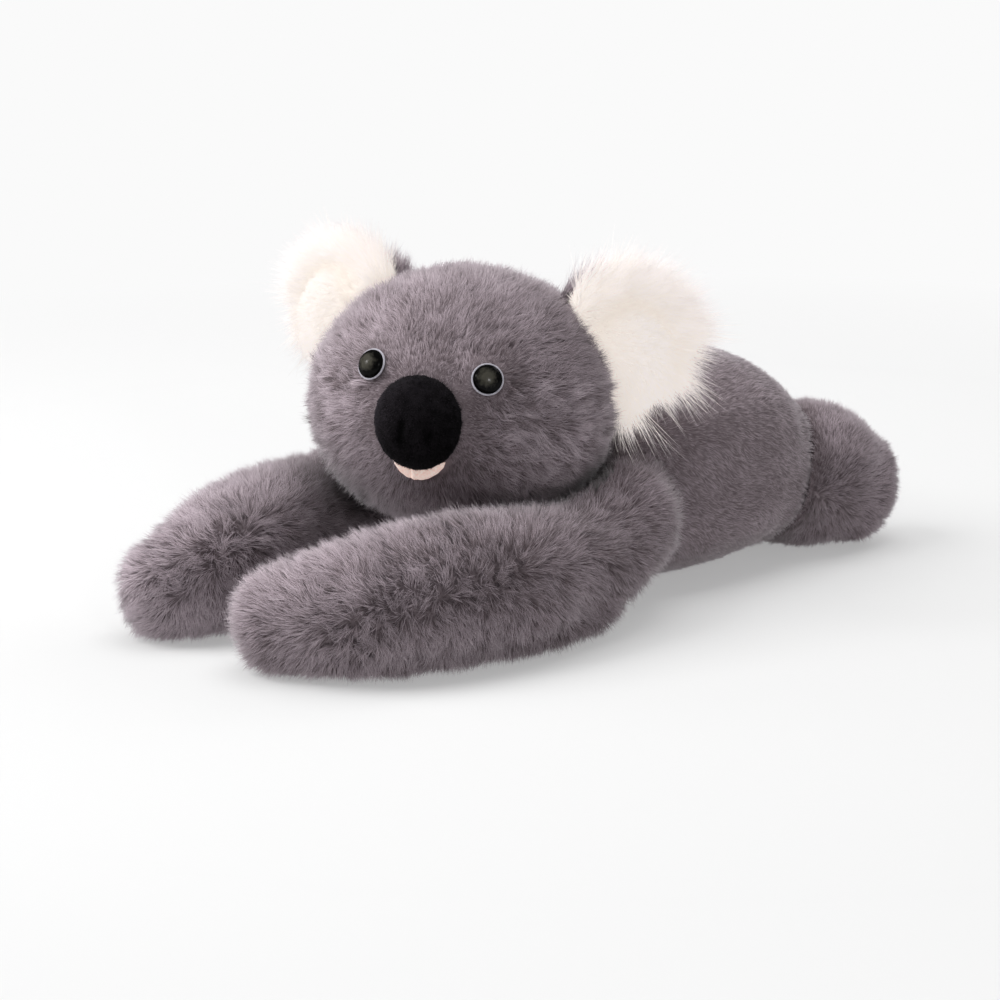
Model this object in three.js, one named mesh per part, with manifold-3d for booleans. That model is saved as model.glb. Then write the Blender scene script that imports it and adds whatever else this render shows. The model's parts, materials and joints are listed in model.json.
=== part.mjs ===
// Stuffed koala lying on its belly, built from sewn fur covers over separate fillings,
// safety eyes with felt rims and washers, a velvet nose, a mouth patch and wadded ears.
// Units are millimetres and +Z is up. The toy faces -Y, its own left is +X, and it
// lies on the plane z = 0 with the middle of its belly over the origin.
import * as THREE from 'three';
import { mergeVertices } from 'three/addons/utils/BufferGeometryUtils.js';
import Module from 'manifold-3d';

const wasm = await Module();
wasm.setup();

const degrees = THREE.MathUtils.degToRad;

// Fabric, seams and how the toy rests
const coverThickness = 5;
const fillingClearance = 0.3;
const seamGap = 0.5;
const restFlatDepth = 0.5;
const cutOverrun = 20;

// Torso
const torsoLength = 161;
const torsoWidth = 160;
const torsoHeight = 104;
const torsoSagShare = 0.55;
const torsoRearFullnessShare = 0.04;
const torsoPlanPower = 2.4;
const torsoSectionPower = 2.6;

// Head, with its centre in front of the origin and a little below the torso's top,
// turned to the toy's left and tilted
const headWidth = 138;
const headDepth = 131;
const headHeight = 120;
const headCheekShare = 0.05;
const headForward = 109;
const headCentreDrop = 10;
const headTurn = degrees(25);
const headTilt = degrees(4);
const neckOpeningDiameter = 56;

// Arms: each bulge's centre from root to tip, across as a share of half the torso's width
// and forward as a share of the arm's length, and its girth as a share of the thickness
const armLength = 181;
const armThickness = 66;
const armRootForward = 56;
const leftArmPlanShares = [[0.53, 0], [0.8, 0.13], [0.89, 0.34], [0.75, 0.65], [0.54, 0.9], [0.19, 1]];
const rightArmPlanShares = [[0.53, 0], [0.8, 0.13], [0.9, 0.34], [0.75, 0.63], [0.63, 0.86], [0.71, 0.98]];
const armGirthShares = [0.82, 0.85, 0.94, 1, 0.94, 0.73];
const armRaisedBulges = 2;
const shoulderHeight = 42;
const shoulderPivotSide = 58;
const armSwing = degrees(30);

// Legs, in the same shares
const legLength = 64;
const legThickness = 69;
const legRootBack = 28;
const legPlanShares = [[0.43, 0], [0.55, 0.42], [0.65, 0.77], [0.73, 1]];
const legGirthShares = [0.75, 0.93, 1, 0.81];
const legRaisedBulges = 2;
const hipHeight = 36.5;
const hipPivotSide = 76;
const hipPivotBack = 42;
const legSwing = degrees(20);

// How far the ears fold, and the largest step of a swing that is cut away
const earFold = degrees(15);
const swingStep = degrees(10);

// Eyes: glossy domes on shanks, with a felt rim outside and a washer inside
const eyeDiameter = 12;
const eyeDomeHeight = 4.6;
const eyeShankDiameter = 4;
const eyeShankLength = 11;
const eyeSpacing = 51;
const eyeAboveCentre = 21.6;
const eyeRimDiameter = 14;
const eyeRimThickness = 1.2;
const eyeRimRecess = 0.3;
const eyeWasherDiameter = 13;
const eyeWasherThickness = 1.5;
const eyeWasherSetback = 1;
const eyeFitClearance = 0.3;

// Nose and mouth
const noseWidth = 37;
const noseHeight = 41;
const noseDepth = 30;
const noseStandOff = 13;
const noseAboveCentre = 3;
const velvetThickness = 2;
const nostrilDiameter = 9;
const nostrilDepth = 1.5;
const nostrilSpacing = 15;
const mouthWidth = 23;
const mouthHeight = 20;
const mouthBelowCentre = 14;
const mouthFeltThickness = 0.9;

// Ears
const earReach = 38;
const earHeight = 76;
const earThickness = 24;
const earAboveCentre = 24;
const earBehindCentre = 17;
const earRootInset = 9;
const earCoverThickness = 3;
const earSweepBack = degrees(27);

// Facets
const torsoStations = 14;
const torsoSides = 24;
const headSegments = 24;
const headRings = 14;
const limbSides = 14;
const limbStationsPerSpan = 2;
const capRings = 3;
const roundSegments = 16;
const domeSteps = 6;
const noseRings = 10;
const earSegments = 18;
const earRings = 10;
const sweepDirections = 16;

// Materials
const furGrey = { color: 0x6e666a, roughness: 0.95, metalness: 0 };
const furWhite = { color: 0xf5efe8, roughness: 0.95, metalness: 0 };
const filling = { color: 0xe9e6df, roughness: 1, metalness: 0 };
const glossyEye = { color: 0x1c1c17, roughness: 0.08, metalness: 0 };
const rimFelt = { color: 0xaaa8b2, roughness: 0.8, metalness: 0 };
const washerPlastic = { color: 0xdadada, roughness: 0.5, metalness: 0 };
const noseVelvet = { color: 0x0d0d0e, roughness: 1, metalness: 0 };
const mouthFelt = { color: 0xe1c3b4, roughness: 0.9, metalness: 0 };

// A closed manifold solid from a three.js geometry, placed by a matrix if one is given
function solidOf(geometry, placement) {
  const bare = geometry.clone();
  bare.deleteAttribute('normal');
  bare.deleteAttribute('uv');
  if (placement) bare.applyMatrix4(placement);
  const merged = mergeVertices(bare);
  const triVerts = [];
  for (let i = 0; i < merged.index.count; i += 3) {
    const corners = [0, 1, 2].map((k) => merged.index.getX(i + k));
    if (new Set(corners).size === 3) triVerts.push(...corners);
  }
  return new wasm.Manifold(new wasm.Mesh({
    numProp: 3,
    vertProperties: new Float32Array(merged.attributes.position.array),
    triVerts: new Uint32Array(triVerts),
  }));
}

// A named mesh made from a manifold solid
function meshOf(name, solid, finish) {
  const { vertProperties, triVerts } = solid.getMesh();
  const geometry = new THREE.BufferGeometry();
  geometry.setAttribute('position', new THREE.BufferAttribute(vertProperties, 3));
  geometry.setIndex(new THREE.BufferAttribute(triVerts, 1));
  geometry.computeVertexNormals();
  const mesh = new THREE.Mesh(geometry, new THREE.MeshStandardMaterial(finish));
  mesh.name = name;
  return mesh;
}

// A closed skin over rings of points, with a point that closes each end
function ringLoft(rings, firstTip, lastTip) {
  const sides = rings[0].length;
  const points = [firstTip, ...rings.flat(), lastTip];
  const index = [];
  const at = (ring, side) => 1 + ring * sides + (side % sides);
  for (let side = 0; side < sides; side += 1) {
    index.push(0, at(0, side + 1), at(0, side));
    index.push(points.length - 1, at(rings.length - 1, side), at(rings.length - 1, side + 1));
    for (let ring = 0; ring < rings.length - 1; ring += 1) {
      index.push(at(ring, side), at(ring, side + 1), at(ring + 1, side));
      index.push(at(ring + 1, side), at(ring, side + 1), at(ring + 1, side + 1));
    }
  }
  const geometry = new THREE.BufferGeometry();
  geometry.setFromPoints(points);
  geometry.setIndex(index);
  return geometry;
}

const signedPower = (value, power) => Math.sign(value) * Math.abs(value) ** power;

// The stuffed torso, full in the middle and drawn in at both ends, inset by a wall
function torsoForm(inset) {
  const halfLength = torsoLength / 2 - inset;
  const halfWidth = torsoWidth / 2 - inset;
  const halfHeight = torsoHeight / 2 - inset;
  const centreHeight = torsoHeight / 2 - restFlatDepth;
  const sag = (share) => (torsoHeight / 2) * (1 - share) * torsoSagShare;
  const rings = [];
  for (let station = 1; station < torsoStations; station += 1) {
    const along = -Math.cos((Math.PI * station) / torsoStations);
    const share = (1 - Math.abs(along) ** torsoPlanPower) ** (1 / torsoPlanPower);
    const fullness = 1 + torsoRearFullnessShare * along;
    const ring = [];
    for (let side = 0; side < torsoSides; side += 1) {
      const angle = (2 * Math.PI * side) / torsoSides;
      const across = signedPower(Math.cos(angle), 2 / torsoSectionPower);
      const up = signedPower(Math.sin(angle), 2 / torsoSectionPower);
      ring.push(new THREE.Vector3(
        halfWidth * share * fullness * across,
        halfLength * along,
        centreHeight - sag(share) + halfHeight * share * up,
      ));
    }
    rings.push(ring);
  }
  const tipHeight = centreHeight - sag(0);
  return ringLoft(
    rings.reverse(),
    new THREE.Vector3(0, halfLength, tipHeight),
    new THREE.Vector3(0, -halfLength, tipHeight),
  );
}

// The stuffed head in its own frame, fuller at the cheeks than at the crown
function headForm(inset) {
  const geometry = new THREE.SphereGeometry(1, headSegments, headRings);
  geometry.rotateX(Math.PI / 2);
  const position = geometry.attributes.position;
  for (let i = 0; i < position.count; i += 1) {
    const fullness = 1 - headCheekShare * position.getZ(i);
    position.setX(i, position.getX(i) * fullness * (headWidth / 2 - inset));
    position.setY(i, position.getY(i) * (headDepth / 2 - inset));
    position.setZ(i, position.getZ(i) * (headHeight / 2 - inset));
  }
  return geometry;
}

// A stuffed limb that swells and tapers along its bulges, with round ends
function limbForm(centres, radii, inset) {
  const spine = new THREE.CatmullRomCurve3(centres);
  const spans = centres.length - 1;
  const swellPoints = radii.map((radius, i) => new THREE.Vector3(i, radius - inset, 0));
  const swell = new THREE.CatmullRomCurve3(swellPoints, false, 'catmullrom');
  const stations = spans * limbStationsPerSpan;
  const rings = [];
  const addRing = (centre, tangent, radius) => {
    const across = new THREE.Vector3(0, 0, 1).cross(tangent).normalize();
    const up = tangent.clone().cross(across);
    const ring = [];
    for (let side = 0; side < limbSides; side += 1) {
      const angle = (2 * Math.PI * side) / limbSides;
      ring.push(centre.clone()
        .addScaledVector(across, radius * Math.cos(angle))
        .addScaledVector(up, radius * Math.sin(angle)));
    }
    rings.push(ring);
  };
  const cap = (t, outward) => {
    const centre = spine.getPoint(t);
    const tangent = spine.getTangent(t);
    const radius = swell.getPoint(t).y;
    for (let ring = 1; ring <= capRings; ring += 1) {
      const step = outward < 0 ? ring : capRings + 1 - ring;
      const rise = (Math.PI / 2) * (1 - step / (capRings + 1));
      const middle = centre.clone().addScaledVector(tangent, outward * radius * Math.sin(rise));
      addRing(middle, tangent, radius * Math.cos(rise));
    }
    return centre.clone().addScaledVector(tangent, outward * radius);
  };
  const rootTip = cap(0, -1);
  for (let station = 0; station <= stations; station += 1) {
    const t = station / stations;
    addRing(spine.getPoint(t), spine.getTangent(t), swell.getPoint(t).y);
  }
  const farTip = cap(1, 1);
  return ringLoft(rings, rootTip, farTip);
}

// Bulge centres of a limb: at its joint height by the body, then resting on the ground
function limbCentres({ side, planShares, rootAlong, length, radii, rootHeight, raised }) {
  return planShares.map(([acrossShare, alongShare], i) => {
    const resting = radii[i] * Math.cos(Math.PI / limbSides) - restFlatDepth;
    return new THREE.Vector3(
      side * acrossShare * (torsoWidth / 2),
      rootAlong + alongShare * length,
      i < raised ? Math.max(rootHeight, resting) : resting,
    );
  });
}

// The solid that a turned piece sweeps about the vertical axis through its centre
function sweptForm(geometry, placement, growth) {
  const placed = geometry.clone().applyMatrix4(placement);
  const position = placed.attributes.position;
  const reach = (angle) => {
    let furthest = -Infinity;
    for (let i = 0; i < position.count; i += 1) {
      const radius = Math.hypot(position.getX(i), position.getY(i));
      furthest = Math.max(furthest, radius * Math.cos(angle) + position.getZ(i) * Math.sin(angle));
    }
    return furthest + growth;
  };
  const step = Math.PI / sweepDirections;
  const profile = [new THREE.Vector2(0, -reach(-Math.PI / 2))];
  for (let i = 0; i < sweepDirections; i += 1) {
    const low = -Math.PI / 2 + i * step;
    const high = low + step;
    const [a, b] = [reach(low), reach(high)];
    profile.push(new THREE.Vector2(
      (a * Math.sin(high) - b * Math.sin(low)) / Math.sin(step),
      (b * Math.cos(low) - a * Math.cos(high)) / Math.sin(step),
    ));
  }
  profile.push(new THREE.Vector2(0, reach(Math.PI / 2)));
  const spread = 1 / Math.cos(Math.PI / headSegments);
  profile.forEach((point) => point.setX(Math.max(0, point.x * spread)));
  return new THREE.LatheGeometry(profile, headSegments).rotateX(Math.PI / 2);
}

// A block that reaches below the ground, which flattens whatever stands on it
function belowGround() {
  const span = 2 * (torsoLength + armLength + headDepth);
  const depth = torsoHeight;
  return solidOf(new THREE.BoxGeometry(span, span, depth).translate(0, 0, -depth / 2));
}

// The body of a stuffed form copied at each step of its partner's swing about a pivot
function swungCopies(geometry, pivot, axis, from, to) {
  const steps = Math.max(1, Math.round(Math.abs(to - from) / swingStep));
  let joined = null;
  for (let i = 0; i <= steps; i += 1) {
    const turn = new THREE.Matrix4()
      .makeTranslation(pivot)
      .multiply(new THREE.Matrix4().makeRotationAxis(axis, from + ((to - from) * i) / steps))
      .multiply(new THREE.Matrix4().makeTranslation(pivot.clone().negate()));
    const copy = solidOf(geometry, turn);
    joined = joined ? joined.add(copy) : copy;
  }
  return joined;
}

// A point and outward direction on the face, at a side offset and a height
function faceSeat(side, height) {
  const fullness = 1 - headCheekShare * (height / (headHeight / 2));
  const x = side / ((headWidth / 2) * fullness);
  const z = height / (headHeight / 2);
  const point = new THREE.Vector3(side, -(headDepth / 2) * Math.sqrt(1 - x * x - z * z), height);
  const normal = new THREE.Vector3(
    point.x / (headWidth / 2) ** 2,
    point.y / (headDepth / 2) ** 2,
    point.z / (headHeight / 2) ** 2,
  ).normalize();
  return { point, normal };
}

// A matrix that stands a piece made along +Z at a seat
function seatMatrix({ point, normal }) {
  const turn = new THREE.Quaternion().setFromUnitVectors(new THREE.Vector3(0, 0, 1), normal);
  return new THREE.Matrix4().compose(point, turn, new THREE.Vector3(1, 1, 1));
}

// A revolved solid along +Z from [radius, height] pairs that start and end on the axis
function revolved(pairs) {
  const profile = pairs.map(([radius, height]) => new THREE.Vector2(radius, height));
  return new THREE.LatheGeometry(profile, roundSegments).rotateX(Math.PI / 2);
}

// A plain round rod along +Z between two heights
function rod(radius, low, high) {
  return revolved([[0, low], [radius, low], [radius, high], [0, high]]);
}

const toy = new THREE.Group();
const vertical = new THREE.Vector3(0, 0, 1);
const ground = belowGround();

const headCentre = new THREE.Vector3(0, -headForward, torsoHeight - headCentreDrop);
const headRotation = new THREE.Euler(0, headTilt, headTurn, 'ZYX');
const headAttitude = new THREE.Matrix4().makeRotationFromEuler(headRotation);
const headPlacement = headAttitude.clone().setPosition(headCentre);

// The room that the head sweeps when it turns, in the toy's frame
function headRoom(growth) {
  const sweep = sweptForm(headForm(0), headAttitude, growth);
  return solidOf(sweep.translate(headCentre.x, headCentre.y, headCentre.z));
}

const headRoomAtSkin = headRoom(seamGap);
const headRoomAtLining = headRoom(seamGap + coverThickness);
const headRoomAtFilling = headRoom(seamGap + coverThickness + fillingClearance);

// The seam opening between the head and the torso, a round hole along the neck
function neckHole(frame) {
  const alongNeck = new THREE.Vector3(0, headForward, headCentreDrop - torsoHeight / 2).normalize();
  const placement = seatMatrix({ point: headCentre, normal: alongNeck });
  return solidOf(rod(neckOpeningDiameter / 2, 0, headDepth), frame.clone().multiply(placement));
}

function addTorso() {
  const skin = solidOf(torsoForm(0)).subtract(ground).subtract(headRoomAtSkin);
  const lining = solidOf(torsoForm(coverThickness)).subtract(headRoomAtLining);
  const cover = skin.subtract(lining).subtract(neckHole(new THREE.Matrix4()));
  const stuffing = solidOf(torsoForm(coverThickness + fillingClearance)).subtract(headRoomAtFilling);
  toy.add(meshOf('torso_cover', cover, furGrey), meshOf('torso_filling', stuffing, filling));
}

// One arm or leg, cut back to the torso over its whole swing, in a group at its pivot
function addLimb(name, centres, radii, pivot, swing) {
  const swept = (growth) => swungCopies(torsoForm(-growth), pivot, vertical, 0, swing);
  const torsoRoom = swept(seamGap);
  const skin = solidOf(limbForm(centres, radii, 0)).subtract(ground).subtract(headRoomAtSkin);
  const lining = solidOf(limbForm(centres, radii, coverThickness)).subtract(headRoomAtLining);
  const cover = skin.subtract(lining).subtract(torsoRoom);
  const core = solidOf(limbForm(centres, radii, coverThickness + fillingClearance));
  const stuffing = core.subtract(headRoomAtFilling).subtract(torsoRoom);
  const group = new THREE.Group();
  group.position.copy(pivot);
  const pieces = [meshOf(`${name}_cover`, cover, furGrey), meshOf(`${name}_filling`, stuffing, filling)];
  for (const piece of pieces) {
    piece.geometry.translate(-pivot.x, -pivot.y, -pivot.z);
    group.add(piece);
  }
  toy.add(group);
}

function addArm(hand, side, planShares) {
  const radii = armGirthShares.map((share) => (share * armThickness) / 2);
  const centres = limbCentres({
    side,
    planShares,
    rootAlong: -armRootForward,
    length: -armLength,
    radii,
    rootHeight: shoulderHeight,
    raised: armRaisedBulges,
  });
  const shoulder = new THREE.Vector3(side * shoulderPivotSide, -armRootForward, shoulderHeight);
  addLimb(`arm_${hand}`, centres, radii, shoulder, -side * armSwing);
}

function addLeg(hand, side) {
  const radii = legGirthShares.map((share) => (share * legThickness) / 2);
  const centres = limbCentres({
    side,
    planShares: legPlanShares,
    rootAlong: legRootBack,
    length: legLength,
    radii,
    rootHeight: hipHeight,
    raised: legRaisedBulges,
  });
  const hip = new THREE.Vector3(side * hipPivotSide, hipPivotBack, hipHeight);
  addLimb(`leg_${hand}`, centres, radii, hip, side * legSwing);
}

// Eye with its rim and washer, and the holes that they need in the cover and filling
function addEye(head, hand, side, cuts) {
  const seat = faceSeat((side * eyeSpacing) / 2, eyeAboveCentre);
  const eyeRadius = eyeDiameter / 2;
  const shankRadius = eyeShankDiameter / 2;
  const rimBase = -eyeRimRecess;
  const domeBase = rimBase + eyeRimThickness + eyeFitClearance;
  const dome = [];
  for (let i = 0; i <= domeSteps; i += 1) {
    const rise = (Math.PI / 2) * (i / domeSteps);
    dome.push([eyeRadius * Math.cos(rise), domeBase + eyeDomeHeight * Math.sin(rise)]);
  }
  dome[domeSteps][0] = 0;
  const shankEnd = domeBase - eyeShankLength;
  const eye = revolved([[0, shankEnd], [shankRadius, shankEnd], [shankRadius, domeBase], ...dome]);
  const rim = solidOf(rod(eyeRimDiameter / 2, rimBase, rimBase + eyeRimThickness))
    .subtract(solidOf(rod(shankRadius + eyeFitClearance, rimBase - cutOverrun, rimBase + cutOverrun)));
  const washerTop = -coverThickness - eyeWasherSetback;
  const washerBase = washerTop - eyeWasherThickness;
  const washerBore = rod(shankRadius + eyeFitClearance, washerBase - cutOverrun, washerTop + cutOverrun);
  const washer = solidOf(rod(eyeWasherDiameter / 2, washerBase, washerTop)).subtract(solidOf(washerBore));
  const placement = seatMatrix(seat);
  const group = new THREE.Group();
  group.applyMatrix4(placement);
  group.add(
    meshOf(`eye_${hand}`, solidOf(eye), glossyEye),
    meshOf(`eye_rim_${hand}`, rim, rimFelt),
    meshOf(`eye_washer_${hand}`, washer, washerPlastic),
  );
  head.add(group);
  cuts.cover.push(solidOf(rod(shankRadius + eyeFitClearance, -cutOverrun, cutOverrun), placement));
  cuts.cover.push(solidOf(
    rod(eyeRimDiameter / 2 + eyeFitClearance, rimBase - eyeFitClearance, cutOverrun),
    placement,
  ));
  cuts.filling.push(solidOf(
    rod(eyeWasherDiameter / 2 + eyeFitClearance, shankEnd - eyeFitClearance, cutOverrun),
    placement,
  ));
}

// The middle of the nose's rounded form, in the head's frame
function noseCentre() {
  const { point } = faceSeat(0, noseAboveCentre);
  return new THREE.Vector3(0, point.y - noseStandOff + noseDepth / 2, noseAboveCentre);
}

// The nose's rounded form, inset by a wall
function noseForm(inset) {
  const centre = noseCentre();
  return new THREE.SphereGeometry(1, roundSegments, noseRings)
    .scale(noseWidth / 2 - inset, noseDepth / 2 - inset, noseHeight / 2 - inset)
    .translate(centre.x, centre.y, centre.z);
}

function addNose(head) {
  const face = solidOf(headForm(-seamGap));
  const centre = noseCentre();
  const nostrilRadius = nostrilDiameter / 2;
  let skin = solidOf(noseForm(0)).subtract(face);
  for (const side of [-1, 1]) {
    const across = (side * nostrilSpacing) / 2;
    const front = centre.y - (noseDepth / 2) * Math.sqrt(1 - (across / (noseWidth / 2)) ** 2);
    const dent = new THREE.SphereGeometry(nostrilRadius, roundSegments, noseRings)
      .translate(across, front + nostrilDepth - nostrilRadius, centre.z);
    skin = skin.subtract(solidOf(dent));
  }
  const lining = solidOf(noseForm(velvetThickness + nostrilDepth));
  const cover = skin.subtract(lining);
  const stuffing = solidOf(noseForm(velvetThickness + nostrilDepth + fillingClearance)).subtract(face);
  head.add(meshOf('nose_cover', cover, noseVelvet), meshOf('nose_filling', stuffing, filling));
}

// The mouth patch, a crescent of felt on the face that tucks under the nose
function addMouth(head) {
  const ellipse = new THREE.Shape();
  ellipse.absellipse(0, -mouthBelowCentre, mouthWidth / 2, mouthHeight / 2, 0, 2 * Math.PI);
  const sides = { depth: headDepth, bevelEnabled: false, curveSegments: roundSegments / 2 };
  const outline = solidOf(new THREE.ExtrudeGeometry(ellipse, sides).rotateX(Math.PI / 2));
  const patch = solidOf(headForm(-seamGap - mouthFeltThickness))
    .subtract(solidOf(headForm(-seamGap)))
    .intersect(outline)
    .subtract(solidOf(noseForm(-seamGap)));
  head.add(meshOf('mouth_patch', patch, mouthFelt));
}

// One ear in a group at its root: a grey back, a white front and the wadding between
function addEar(head, hand, side) {
  const root = new THREE.Vector3(
    side * (headWidth / 2 - earRootInset),
    earBehindCentre,
    earAboveCentre,
  );
  const attitude = new THREE.Matrix4().makeRotationZ(side * earSweepBack).setPosition(root);
  const lens = (inset) => new THREE.SphereGeometry(1, earSegments, earRings)
    .rotateX(Math.PI / 2)
    .scale(earReach - inset, earThickness / 2 - inset, earHeight / 2 - inset);
  const headFromEar = attitude.clone().invert();
  const face = headForm(-seamGap).applyMatrix4(headFromEar);
  const room = swungCopies(face, new THREE.Vector3(), vertical, -earFold, earFold);
  const half = (sign) => solidOf(
    new THREE.BoxGeometry(2 * earReach + cutOverrun, earThickness, earHeight + cutOverrun)
      .translate(0, (sign * (earThickness + fillingClearance)) / 2, 0),
  );
  const shell = solidOf(lens(0)).subtract(solidOf(lens(earCoverThickness)));
  const wadding = solidOf(lens(earCoverThickness + fillingClearance)).subtract(room);
  const group = new THREE.Group();
  group.applyMatrix4(attitude);
  group.add(
    meshOf(`ear_back_${hand}`, shell.intersect(half(1)).subtract(room), furGrey),
    meshOf(`ear_front_${hand}`, shell.intersect(half(-1)).subtract(room), furWhite),
    meshOf(`ear_wadding_${hand}`, wadding, filling),
  );
  head.add(group);
}

function addHead() {
  const head = new THREE.Group();
  head.position.copy(headCentre);
  head.rotation.copy(headRotation);
  const cuts = { cover: [], filling: [] };
  for (const [hand, side] of [['left', 1], ['right', -1]]) {
    addEye(head, hand, side, cuts);
    addEar(head, hand, side);
  }
  let cover = solidOf(headForm(0))
    .subtract(solidOf(headForm(coverThickness)))
    .subtract(neckHole(headPlacement.clone().invert()));
  for (const cut of cuts.cover) cover = cover.subtract(cut);
  let stuffing = solidOf(headForm(coverThickness + fillingClearance));
  for (const cut of cuts.filling) stuffing = stuffing.subtract(cut);
  head.add(meshOf('head_cover', cover, furGrey), meshOf('head_filling', stuffing, filling));
  addNose(head);
  addMouth(head);
  toy.add(head);
}

addTorso();
addArm('left', 1, leftArmPlanShares);
addArm('right', -1, rightArmPlanShares);
addLeg('left', 1);
addLeg('right', -1);
addHead();

export default toy;
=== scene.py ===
"""Plush koala on its belly: stuffed fur pieces, domed eyes, a velvet nose and white-fronted ears.

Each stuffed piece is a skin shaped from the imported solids, set back by the depth of its pile, with
strands grown on it. Lengths are in metres, in the frame's own axes: +Z is up, the toy faces -Y.
"""

from __future__ import annotations

import json
import logging
import math
from contextlib import contextmanager
from dataclasses import dataclass, field
from enum import Enum
from typing import Any, Callable, Iterator, Sequence

import bpy
import numpy as np
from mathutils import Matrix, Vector
from mathutils.bvhtree import BVHTree
from mathutils.kdtree import KDTree

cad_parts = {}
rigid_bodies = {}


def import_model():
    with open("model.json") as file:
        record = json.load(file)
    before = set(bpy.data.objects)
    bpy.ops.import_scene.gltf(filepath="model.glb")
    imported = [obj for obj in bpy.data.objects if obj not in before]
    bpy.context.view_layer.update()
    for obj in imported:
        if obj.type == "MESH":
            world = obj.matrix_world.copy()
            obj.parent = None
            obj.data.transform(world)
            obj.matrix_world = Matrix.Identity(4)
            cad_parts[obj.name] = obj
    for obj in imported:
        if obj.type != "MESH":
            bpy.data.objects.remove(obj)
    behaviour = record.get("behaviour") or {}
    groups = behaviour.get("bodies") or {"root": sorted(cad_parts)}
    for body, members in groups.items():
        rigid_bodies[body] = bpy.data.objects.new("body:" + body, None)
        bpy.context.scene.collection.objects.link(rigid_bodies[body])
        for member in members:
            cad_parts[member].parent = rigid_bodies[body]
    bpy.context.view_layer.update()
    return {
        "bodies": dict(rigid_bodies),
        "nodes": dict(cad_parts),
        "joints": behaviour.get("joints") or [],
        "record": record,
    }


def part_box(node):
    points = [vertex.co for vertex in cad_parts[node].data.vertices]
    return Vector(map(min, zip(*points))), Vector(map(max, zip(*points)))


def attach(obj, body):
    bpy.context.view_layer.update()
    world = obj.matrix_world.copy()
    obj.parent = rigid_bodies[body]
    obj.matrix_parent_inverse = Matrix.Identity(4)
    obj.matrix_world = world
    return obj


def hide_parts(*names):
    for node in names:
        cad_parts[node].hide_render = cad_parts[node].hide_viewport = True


LOG = logging.getLogger("plush_koala")
MM = 0.001
UP = np.array([0.0, 0.0, 1.0])
TONE = "pile_tone"
RISE = "pile_rise"
PILE_ROUGHNESS = 0.9
SHEEN_ROUGHNESS = 0.4
LAMP_TARGET = (0.0, -0.06, 0.07)

Colour = tuple[float, float, float, float]
Range = tuple[float, float]
Array = np.ndarray
Piece = bpy.types.Object
Material = bpy.types.Material
Field = Callable[[Array], Array]
Flow = Callable[[Array, Array], Array]


class Side(Enum):
    """The toy's own left and right, with the sign of their X."""

    LEFT = 1
    RIGHT = -1

    @property
    def word(self) -> str:
        """The side's name as the nodes spell it."""
        return self.name.lower()

    def pick(self, left: Any, right: Any) -> Any:
        """The value that holds on this side."""
        return left if self is Side.LEFT else right


def paint(red: int, green: int, blue: int) -> Colour:
    """Turns a display colour of 0 to 255 into the linear colour that a shader takes."""
    linear = []
    for channel in (red, green, blue):
        share = channel / 255
        linear.append(share / 12.92 if share <= 0.04045 else ((share + 0.055) / 1.055) ** 2.4)
    return (linear[0], linear[1], linear[2], 1.0)


def _math(operation: str, swapped: bool = False) -> Callable[[Signal, Any], Signal]:
    """Makes the method of a signal for one Math operation.

    Args:
        operation: The Math node's operation.
        swapped: Whether the signal comes second.

    Returns:
        The method.
    """

    def method(self: Signal, other: Any) -> Signal:
        """Joins the signal and another value."""
        pair = {0: other, 1: self} if swapped else {0: self, 1: other}
        return self.graph.node("ShaderNodeMath", {"operation": operation}, pair)

    return method


class Signal:
    """An output socket that takes part in Python expressions."""

    __add__ = _math("ADD")
    __radd__ = _math("ADD", swapped=True)
    __sub__ = _math("SUBTRACT")
    __rsub__ = _math("SUBTRACT", swapped=True)
    __mul__ = _math("MULTIPLY")
    __rmul__ = _math("MULTIPLY", swapped=True)
    __truediv__ = _math("DIVIDE")
    at_least = _math("MAXIMUM")
    at_most = _math("MINIMUM")

    def __init__(self, graph: Tree, socket: bpy.types.NodeSocket) -> None:
        """Keeps the socket and the tree that it belongs to."""
        self.graph = graph
        self.socket = socket

    def held(self, low: float, high: float) -> Signal:
        """Self kept between two values."""
        return self.at_least(low).at_most(high)


class Tree:
    """The nodes of a world or a material, made from nothing."""

    def __init__(self, owner: bpy.types.World | Material) -> None:
        """Empties the owner's own tree."""
        owner.use_nodes = True
        self.tree = owner.node_tree
        self.tree.nodes.clear()

    def feed(self, socket: bpy.types.NodeSocket, value: Any) -> None:
        """Links a signal to a socket, or sets a plain value on it."""
        if isinstance(value, Signal):
            self.tree.links.new(value.socket, socket)
        else:
            socket.default_value = value

    def node(
        self, kind: str, settings: dict[str, Any], inputs: dict[Any, Any], output: Any = 0
    ) -> Signal:
        """Adds one node.

        Args:
            kind: The node's type.
            settings: Its properties, set before the links.
            inputs: The value or signal of each input, by its name or place.
            output: The output wanted, by its name or place.

        Returns:
            That output.
        """
        made = self.tree.nodes.new(kind)
        for key, value in settings.items():
            setattr(made, key, value)
        for key, value in inputs.items():
            self.feed(made.inputs[key], value)
        return Signal(self, made.outputs[output])

    def end(self, kind: str, surface: Signal) -> None:
        """Ends the tree in an output node of some kind."""
        self.feed(self.tree.nodes.new(kind).inputs[0], surface)


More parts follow.
